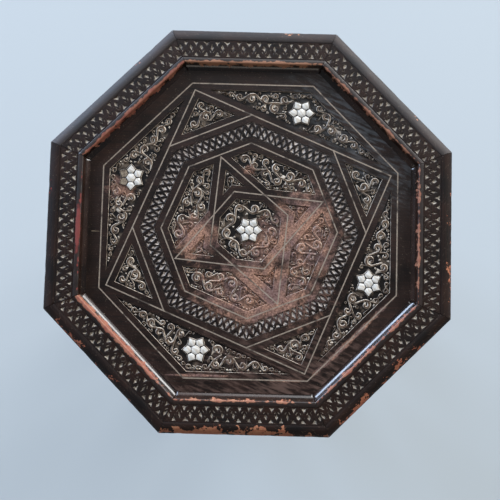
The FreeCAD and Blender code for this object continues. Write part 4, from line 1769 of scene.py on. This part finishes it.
@dataclass
class Field:
    """The sunk field: two boards, carved grounds and wire lines."""

    layout: Layout
    workshop: Workshop
    chip_period: float = 7.1
    ground_depth: float = 1.0
    glue_width: float = 0.55
    glue_height: float = 0.06

    def build(self) -> None:
        """Dress the boards and wires and carve every ground."""
        finishes = self.workshop.finishes
        for node in ("field_board_north", "field_board_south"):
            self.workshop.dress(node, finishes.field)
        for node in ("outer_octagon", "great_square", "corner_cuts", "inner_octagon", "rhombi"):
            self.workshop.dress(f"wire_{node}", finishes.wire)
        for quarter in range(QUARTERS):
            for number, (name, edge) in enumerate(self.compartments().items()):
                edge = turned(edge, QUARTER_TURN * quarter)
                self.ground(f"{name}_{quarter + 1}", edge, 10 * quarter + number, quarter)
        self.ground("centre_ground", self.centre_edge(), 77, 0)
        self.ring()
        self.joint()

    def compartments(self) -> dict[str, list[Point]]:
        """Return the outlines of the carved grounds in the first quarter of the field."""
        layout = self.layout
        near, lean, line = layout.carving_inset, layout.rhombus_lean, layout.rhombus_line
        square, octagon, inner = layout.square_line, layout.octagon_line - near, layout.inner_line - near
        return {
            "outer_triangle": outline([
                (HALF_TURN + TURN, square + near), (TURN, octagon), (2 * TURN, octagon),
            ]),
            "corner_triangle": outline([
                (HALF_TURN, square + near),
                (HALF_TURN + TURN, square - near),
                (HALF_TURN - TURN, square - near),
            ]),
            "shield": outline([
                (HALF_TURN + lean, line + near),
                (HALF_TURN, inner),
                (HALF_TURN + TURN, inner),
                (HALF_TURN + QUARTER_TURN, inner),
                (HALF_TURN + QUARTER_TURN - lean, line + near),
            ]),
            "dart": outline([
                (HALF_TURN + lean, line - near),
                (HALF_TURN + QUARTER_TURN - lean, line + near),
                (HALF_TURN - QUARTER_TURN + lean, line + near),
                (HALF_TURN - lean, line - near),
            ]),
        }

    def centre_edge(self) -> list[Point]:
        """Return the outline of the carved ground in the middle."""
        layout = self.layout
        lines = []
        for quarter in range(QUARTERS):
            for hand in (-1, 1):
                turn = HALF_TURN + QUARTER_TURN * quarter + hand * (90 - layout.rhombus_lean)
                lines.append((turn, layout.rhombus_line - layout.carving_inset))
        return outline(lines)

    def ground(self, name: str, edge: list[Point], seed: int, quarter: int) -> None:
        """Carve one ground with scrolls.

        Args:
            name: name of the piece.
            edge: its outline.
            seed: number that makes its scrolls differ.
            quarter: the quarter that it lies in.
        """
        layout = self.layout
        area = sum(x1 * y2 - x2 * y1 for (x1, y1), (x2, y2) in zip(edge, edge[1:] + edge[:1]))
        if area < 0:
            edge = edge[::-1]
        plate = CarvedPlate(edge, sunk=self.ground_depth)
        blocked = []
        if name.startswith("outer_triangle"):
            centre = polar((0, 0), HALF_TURN + TURN + QUARTER_TURN * quarter, layout.star_place)
            plate.openings.append(layout.star_bed(centre, QUARTER_TURN * quarter))
            blocked.append((centre, layout.star_radius + 1.9))
        if name == "centre_ground":
            plate.openings.append(layout.star_bed((0, 0), 0))
            blocked.append(((0, 0), layout.star_radius + 1.9))
        work = ScrollWork(
            large=7.6, border=0.7, gap=0.0, line_width=3.9, pitch=4.3, level=0.3, vein=0.3, seed=seed
        )
        work.fill(plate, edge, blocked)
        self.lay(name, plate, self.workshop.finishes.field_relief)

    def ring(self) -> None:
        """Carve the ring between the two octagons of wire with three rows of chips."""
        layout = self.layout
        low = layout.inner_line + layout.carving_inset
        high = layout.square_line - layout.carving_inset
        middle = (low + high) / 2
        outer, inner = regular(high, SIDES, HALF_TURN), regular(low, SIDES, HALF_TURN)
        plate = CarvedPlate(outer, [inner])
        plate.grooves += [border_groove(outer, 0.4, 0.6, 0.6), border_groove(inner, -0.4, 0.6, 0.6)]
        chance = np.random.default_rng(31)
        slope = math.tan(math.radians(HALF_TURN))
        count = round((low + high) * slope / self.chip_period)
        for side in range(SIDES):
            turn = HALF_TURN + TURN * side
            lean = chance.uniform(-1.0, 1.0)
            for index in range(count):
                share = (2 * index + 1) / count - 1
                self.tooth(plate, turn, low + 0.8, 5.6, share * slope, chance)
                self.tooth(plate, turn, high - 0.8, -4.8, share * slope, chance)
                share = 2 * index / count - 1
                if index == 0:
                    self.kernel(plate, turn - HALF_TURN, middle / cosine(HALF_TURN), 0.0, 0.0, chance)
                else:
                    self.kernel(plate, turn, middle, share * slope, lean, chance)
        self.lay("ring", plate, self.workshop.finishes.field_carving)

    def tooth(
        self, plate: CarvedPlate, turn: float, base: float, tip: float, slant: float,
        chance: np.random.Generator,
    ) -> None:
        """Cut a three-cornered chip with its base along an edge of the ring.

        Args:
            plate: the ring.
            turn: direction from the centre across the side in degrees.
            base: distance of the chip's base from the centre.
            tip: how far its tip lies beyond the base, negative when it lies nearer the centre.
            slant: place along the side as a share of the distance from the centre.
            chance: source of small differences.
        """
        half, shift = chance.uniform(2.5, 3.15), chance.uniform(-0.3, 0.3)
        middle = base * slant + shift
        point = (base + tip) * slant + shift + chance.uniform(-0.4, 0.4)
        corners = [(base, middle - half), (base + tip, point), (base, middle + half)]
        deepest = turned([(base + tip * 0.32, middle)], turn)[0]
        plate.notches.append(Notch(turned(corners, turn), deepest, chance.uniform(0.75, 1.0)))

    def kernel(
        self, plate: CarvedPlate, turn: float, across: float, slant: float, lean: float,
        chance: np.random.Generator,
    ) -> None:
        """Cut a leaning long chip in the middle of the ring.

        Args:
            plate: the ring.
            turn: direction from the centre across the side in degrees.
            across: distance of the chip's middle from the centre.
            slant: place along the side as a share of the distance from the centre.
            lean: how far its outer end lies to the left.
            chance: source of small differences.
        """
        half, long = chance.uniform(1.9, 2.6), chance.uniform(4.6, 5.3)
        at, end = across * slant + chance.uniform(-0.3, 0.3), lean + chance.uniform(-0.5, 0.5) + long * slant
        corners = [
            (across - long, at - end), (across, at - half), (across + long, at + end), (across, at + half),
        ]
        deepest = turned([(across, at)], turn)[0]
        plate.notches.append(Notch(turned(corners, turn), deepest, chance.uniform(0.8, 1.05)))

    def joint(self) -> None:
        """Show the old glue that was squeezed out where the two boards meet, on the margin."""
        layout = self.layout
        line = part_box("field_board_south")[1][1] / MM
        half = self.glue_width / 2
        start, stop = -layout.arris_line + 8.5, -layout.octagon_line - layout.wire_width
        thin = half * 0.6
        edge = [(start, line - half), (stop, line - thin), (stop, line + thin), (start, line + half)]
        plate = CarvedPlate(edge)
        place = Matrix.Translation((0, 0, (layout.field_level + self.glue_height) * MM))
        bm = plate.build(self.glue_height, place)
        self.workshop.piece("glue_line", bm, self.workshop.finishes.pale_mastic, Slot.WALNUT)

    def lay(self, name: str, plate: CarvedPlate, finish: Material) -> None:
        """Set a carved plate into the field."""
        layout = self.layout
        place = Matrix.Translation((0, 0, layout.field_level * MM))
        bm = plate.build(layout.carving_depth - layout.plate_gap, place)
        self.workshop.piece(f"field_{name}", bm, finish, Slot.WALNUT)


@dataclass
class Stars:
    """Shell stars on the field and the rails, with the filler that they lie in."""

    layout: Layout
    workshop: Workshop
    lost_points: tuple[int, ...] = (1, 2)
    filler_gap: float = 0.35

    def build(self) -> None:
        """Make every star and its filler."""
        layout, finishes = self.layout, self.workshop.finishes
        self.star("pearl_star_centre")
        self.filler("centre", (0, 0), 0)
        for quarter, name in enumerate(("north", "west", "south", "east")):
            centre = polar((0, 0), HALF_TURN + TURN + QUARTER_TURN * quarter, layout.star_place)
            self.star(f"pearl_star_{name}")
            self.filler(name, centre, QUARTER_TURN * quarter)
            if name == "west":
                for point in self.lost_points:
                    self.bare_bed(point, centre, QUARTER_TURN * quarter + 360 / STAR_POINTS * point)
        self.star("rail_stars")
        middle = (0, (layout.rail_low + layout.rail_high) / 2)
        for side in range(SIDES):
            place = upright_place(layout.rail_face, TURN * side)
            bed = layout.star_bed(middle, 0, 0.05)
            self.plug(f"rail_star_filler_{side + 1}", bed, place, self.filler_gap, finishes.dark_mastic)

    def star(self, node: str) -> None:
        """Make one node's shell pieces, each with softened edges."""
        bm = self.workshop.copy_of(node)
        self.workshop.round_edges(bm, self.workshop.sharp_edges(bm), 0.12, 2)
        self.workshop.piece(f"{node}_polished", bm, self.workshop.finishes.pearl, Slot.PEARL, (node,), 40.0)

    def filler(self, name: str, centre: Point, turn: float) -> None:
        """Fill a star's bed round its pieces, a little below the field."""
        place = Matrix.Translation((0, 0, self.layout.field_level * MM))
        self.plug(f"star_filler_{name}", self.layout.star_bed(centre, turn, 0.05), place, self.filler_gap,
                  self.workshop.finishes.dark_mastic)

    def bare_bed(self, point: int, centre: Point, tip: float) -> None:
        """Show the pale mastic where a star has lost a point."""
        place = Matrix.Translation((0, 0, self.layout.field_level * MM))
        self.plug(f"bare_bed_{point}", self.layout.kite(centre, tip), place, self.filler_gap - 0.12,
                  self.workshop.finishes.pale_mastic)

    def plug(self, name: str, edge: list[Point], place: Matrix, drop: float, material: Material) -> None:
        """Make a thin filling.

        Args:
            name: name of the piece.
            edge: its outline.
            place: the plane that the outline lies in.
            drop: how far its face lies below that plane.
            material: its finish.
        """
        layout = self.layout
        depth = layout.carving_depth + layout.star_bed_depth - layout.plate_gap - drop
        lowered = place @ Matrix.Translation((0, 0, -drop * MM))
        plate = CarvedPlate(edge)
        self.workshop.piece(name, plate.build(depth, lowered), material, Slot.WALNUT)


@dataclass
class Underframe:
    """Posts, frieze rails, arch boards and the pieces hidden under the top."""

    layout: Layout
    workshop: Workshop
    post_round: float = 0.9
    post_line: float = 4.2
    line_half_width: float = 0.7
    line_depth: float = 0.8

    def build(self) -> None:
        """Make the whole underframe."""
        for side in range(SIDES):
            self.post(side)
            self.rail(side)
            self.arch(side)
        finishes = self.workshop.finishes
        self.workshop.dress("rail_wires", finishes.wire)
        for node in ("bearer_east", "bearer_west", "glue_blocks"):
            bm = self.workshop.copy_of(node)
            self.workshop.round_edges(bm, self.workshop.sharp_edges(bm, 40), 0.6, 2)
            self.workshop.piece(f"{node}_planed", bm, finishes.pine, Slot.PINE, (node,), 30.0)
        bm = self.workshop.copy_of("bearer_nails")
        self.workshop.round_edges(bm, self.workshop.sharp_edges(bm, 40), 0.5, 2)
        self.workshop.piece("bearer_nails_forged", bm, finishes.iron, Slot.IRON, ("bearer_nails",), 40.0)
        self.workshop.dress("rim_nails", finishes.iron)

    def post(self, corner: int) -> None:
        """Make one post with softened edges and an incised line along both faces."""
        name = f"corner_post_{corner + 1}"
        turn = HALF_TURN + TURN * corner
        bm = self.workshop.copy_of(name)
        flat = Matrix.Rotation(math.radians(-turn), 4, "Z")
        bmesh.ops.transform(bm, matrix=flat, verts=bm.verts[:])
        tall = [
            edge for edge in self.workshop.sharp_edges(bm, 20)
            if abs(edge.verts[0].co.z - edge.verts[1].co.z) > 300 * MM
        ]
        self.workshop.round_edges(bm, tall, self.post_round, 3)
        corner_out = self.layout.base_radius / cosine(HALF_TURN)
        for hand in (-1, 1):
            along = Vector((sine(HALF_TURN) * -1, hand * cosine(HALF_TURN), 0))
            outward = Vector((cosine(HALF_TURN), hand * sine(HALF_TURN), 0))
            self.incise(bm, Vector((corner_out * MM, 0, 0)), along, outward)
        foot = [edge for edge in bm.edges if all(vert.co.z < 0.01 * MM for vert in edge.verts)]
        self.workshop.round_edges(bm, foot, 0.8, 2)
        bmesh.ops.transform(bm, matrix=flat.inverted(), verts=bm.verts[:])
        self.workshop.piece(
            f"{name}_worn", bm, self.workshop.finishes.upright, Slot.WALNUT, (name,), 32.0,
            {"side_turn": math.radians(turn), "wear_tone": 0.3},
        )

    def incise(self, bm: BMesh, corner: Vector, along: Vector, outward: Vector) -> None:
        """Cut a fine upright line into one face of a post.

        Args:
            bm: the post.
            corner: a point of its outer corner.
            along: direction from the corner across the face.
            outward: normal of the face.
        """
        for shift in (-self.line_half_width, 0.0, self.line_half_width):
            front = [
                face for face in bm.faces
                if face.normal.dot(outward) > 0.999 and (face.calc_center_median() - corner).dot(along) > 0
            ]
            geom = front + [part for face in front for part in (*face.edges, *face.verts)]
            bmesh.ops.bisect_plane(
                bm, geom=list(dict.fromkeys(geom)), dist=0.0001 * MM,
                plane_co=corner + along * ((self.post_line + shift) * MM), plane_no=along,
            )
        for vert in bm.verts:
            place = vert.co - corner
            on_line = abs(place.dot(along) - self.post_line * MM) < 0.01 * MM
            if on_line and abs(place.dot(outward)) < 0.05 * MM:
                vert.co -= outward * (self.line_depth * MM)

    def rail(self, side: int) -> None:
        """Make one frieze rail and its carved panel."""
        layout = self.layout
        name = f"frieze_rail_{side + 1}"
        bm = self.workshop.copy_of(name)
        facts = {"side_turn": math.radians(TURN * side), "wear_tone": 0.3}
        self.workshop.piece(
            f"{name}_worn", bm, self.workshop.finishes.sideways, Slot.WALNUT, (name,), 30.0, facts
        )
        away = layout.rail_border + layout.wire_width + layout.carving_border
        wide, low, high = layout.rail_half - away, layout.rail_low + away, layout.rail_high - away
        edge = [(-wide, low), (wide, low), (wide, high), (-wide, high)]
        middle = (0, (layout.rail_low + layout.rail_high) / 2)
        plate = CarvedPlate(edge, [layout.star_bed(middle, 0)])
        plate.grooves.append(border_groove(edge, 0.75, 1.0, 0.8))
        work = ScrollWork(seed=50 + side)
        work.fill(plate, edge, [(middle, layout.star_radius + 1.6)])
        place = upright_place(layout.rail_face, TURN * side)
        bm = plate.build(layout.carving_depth - layout.plate_gap, place)
        self.workshop.piece(
            f"rail_carving_{side + 1}", bm, self.workshop.finishes.rail_carving, Slot.WALNUT, facts=facts
        )

    def arch_edge(self) -> list[Point]:
        """Return the outline of an arch board, counter-clockwise."""
        layout = self.layout
        opening = layout.rail_half - layout.stile_width
        springing = layout.rail_low - layout.arch_crown_gap - layout.arch_rise
        curve = [(opening - layout.nib_width, springing)]
        stops = [(opening * across, springing + layout.arch_rise * up) for across, up in layout.cusp_shares]
        apex = (0.0, springing + layout.arch_rise)
        for stop in stops:
            curve += [*arc(curve[-1], stop, layout.lobe_bulge, 10), stop]
        curve += arc(curve[-1], apex, -layout.ogee_hollow, 8)
        right = [(opening, layout.foot_gap), (opening, springing), *curve]
        left = [(-x, y) for x, y in right]
        half, top = layout.rail_half, layout.rail_low
        return [
            (half, layout.foot_gap), (half, top), (-half, top), (-half, layout.foot_gap),
            *left, apex, *reversed(right),
        ]

    def arch(self, side: int) -> None:
        """Make one arch board, carved with scrolls above the arch and drops down its stiles."""
        layout = self.layout
        edge = self.arch_edge()
        plate = CarvedPlate(edge, edge_drop=0.45, edge_round=0.5)
        plate.grooves.append(border_groove(edge, 2.3, 1.0, 0.8))
        ScrollWork(large=6.8, border=3.6, seed=80 + side).fill(plate, edge, [])
        face = layout.base_radius - layout.arch_setback
        place = upright_place(face, TURN * side)
        bm = plate.build(layout.arch_thickness, place)
        name = f"arch_board_{side + 1}"
        facts = {"side_turn": math.radians(TURN * side), "wear_tone": 0.3}
        self.workshop.piece(
            f"{name}_carved", bm, self.workshop.finishes.upright_carving, Slot.WALNUT, (name,), facts=facts
        )


# Stage


@dataclass
class Stage:
    """The floor, lights and camera."""

    layout: Layout
    camera_height_mm: float = 600.0
    image_px: float = 500.0
    focal_px: float = 613.6
    sensor_mm: float = 36.0
    tilt_degrees: tuple[float, float, float] = (-3.29, -0.03, -1.52)
    shift_mm: Point = (-0.8, 20.2)

    def build(self) -> None:
        """Make everything round the table."""
        self.floor()
        self.world()
        self.lamp("window right", 45, 14, 5.5, 3.2, 430, "#ffffff")
        self.lamp("window left", 135, 13, 5.5, 3.2, 700, "#c0d3ef")
        self.lamp("bounce", 75, 40, 5.0, 3.4, 120, "#f5f6f8")
        self.lamp("room", 265, 6, 5.5, 4.0, 55, "#fff3e6")
        self.camera()
        bpy.context.scene.view_settings.view_transform = "Standard"

    def floor(self) -> None:
        """Lay a plain pale floor under the table."""
        bm = bmesh.new()
        bmesh.ops.create_grid(bm, x_segments=4, y_segments=4, size=9.0)
        mesh = bpy.data.meshes.new("floor")
        bm.to_mesh(mesh)
        bm.free()
        mesh.materials.append(FloorPaint().build())
        floor = bpy.data.objects.new("floor", mesh)
        bpy.context.scene.collection.objects.link(floor)

    def world(self) -> None:
        """Light the room softly and show it pale to the camera."""
        world = bpy.data.worlds.new("soft room")
        bpy.context.scene.world = world
        world.use_nodes = True
        tree = world.node_tree
        tree.nodes.clear()
        path = add_node(tree, "LightPath")
        seen = add_node(
            tree, "Math", {0: path.outputs["Is Camera Ray"], 1: path.outputs["Is Transmission Ray"]},
            operation="MAXIMUM",
        )
        soft = add_node(tree, "Background", {"Color": linear("#dfe6ee"), "Strength": 0.16})
        pale = add_node(tree, "Background", {"Color": linear("#ccd6de"), "Strength": 1.0})
        mixed = add_node(tree, "MixShader", {0: seen, 1: soft, 2: pale})
        add_node(tree, "OutputWorld", {"Surface": mixed})

    def lamp(
        self, name: str, azimuth: float, elevation: float, distance: float, size: float, power: float,
        colour: str,
    ) -> None:
        """Hang a soft square lamp that faces the table top.

        Args:
            name: its name.
            azimuth: its direction from the table's axis in degrees, counter-clockwise from +X.
            elevation: its height above the top in degrees.
            distance: its distance in metres.
            size: length of its sides in metres.
            power: its power in watts.
            colour: its colour as sRGB hex.
        """
        data = bpy.data.lights.new(name, "AREA")
        data.shape = "SQUARE"
        data.size = size
        data.energy = power
        data.color = linear(colour)[:3]
        lamp = bpy.data.objects.new(name, data)
        target = Vector((0, 0, self.layout.rim_level * MM))
        direction = Vector((
            cosine(azimuth) * cosine(elevation), sine(azimuth) * cosine(elevation), sine(elevation),
        ))
        lamp.location = target + direction * distance
        lamp.rotation_euler = direction.to_track_quat("Z", "Y").to_euler()
        bpy.context.scene.collection.objects.link(lamp)

    def camera(self) -> None:
        """Set the camera over the top as the photograph was taken."""
        data = bpy.data.cameras.new("camera")
        data.sensor_width = self.sensor_mm
        data.lens = self.sensor_mm * self.focal_px / self.image_px
        camera = bpy.data.objects.new("camera", data)
        tilt = Matrix.Identity(3)
        for axis, degrees in zip("XYZ", self.tilt_degrees):
            tilt = Matrix.Rotation(math.radians(degrees), 3, axis) @ tilt
        back = tilt.transposed()
        x, y = self.shift_mm
        place = back @ Vector((-x * MM, -y * MM, self.camera_height_mm * MM))
        place.z += self.layout.rim_level * MM
        camera.matrix_world = Matrix.Translation(place) @ back.to_4x4()
        bpy.context.scene.collection.objects.link(camera)
        bpy.context.scene.camera = camera


def main() -> None:
    """Build the table and its surroundings, piece by piece."""
    logging.basicConfig(level=logging.INFO, format="%(message)s")
    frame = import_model()
    layout = Layout.read()
    workshop = Workshop(frame["nodes"], Finishes.build(layout))
    for part in (Field, Rim, Stars, Underframe):
        part(layout, workshop).build()
    Stage(layout).build()


if __name__ == "__main__":
    main()
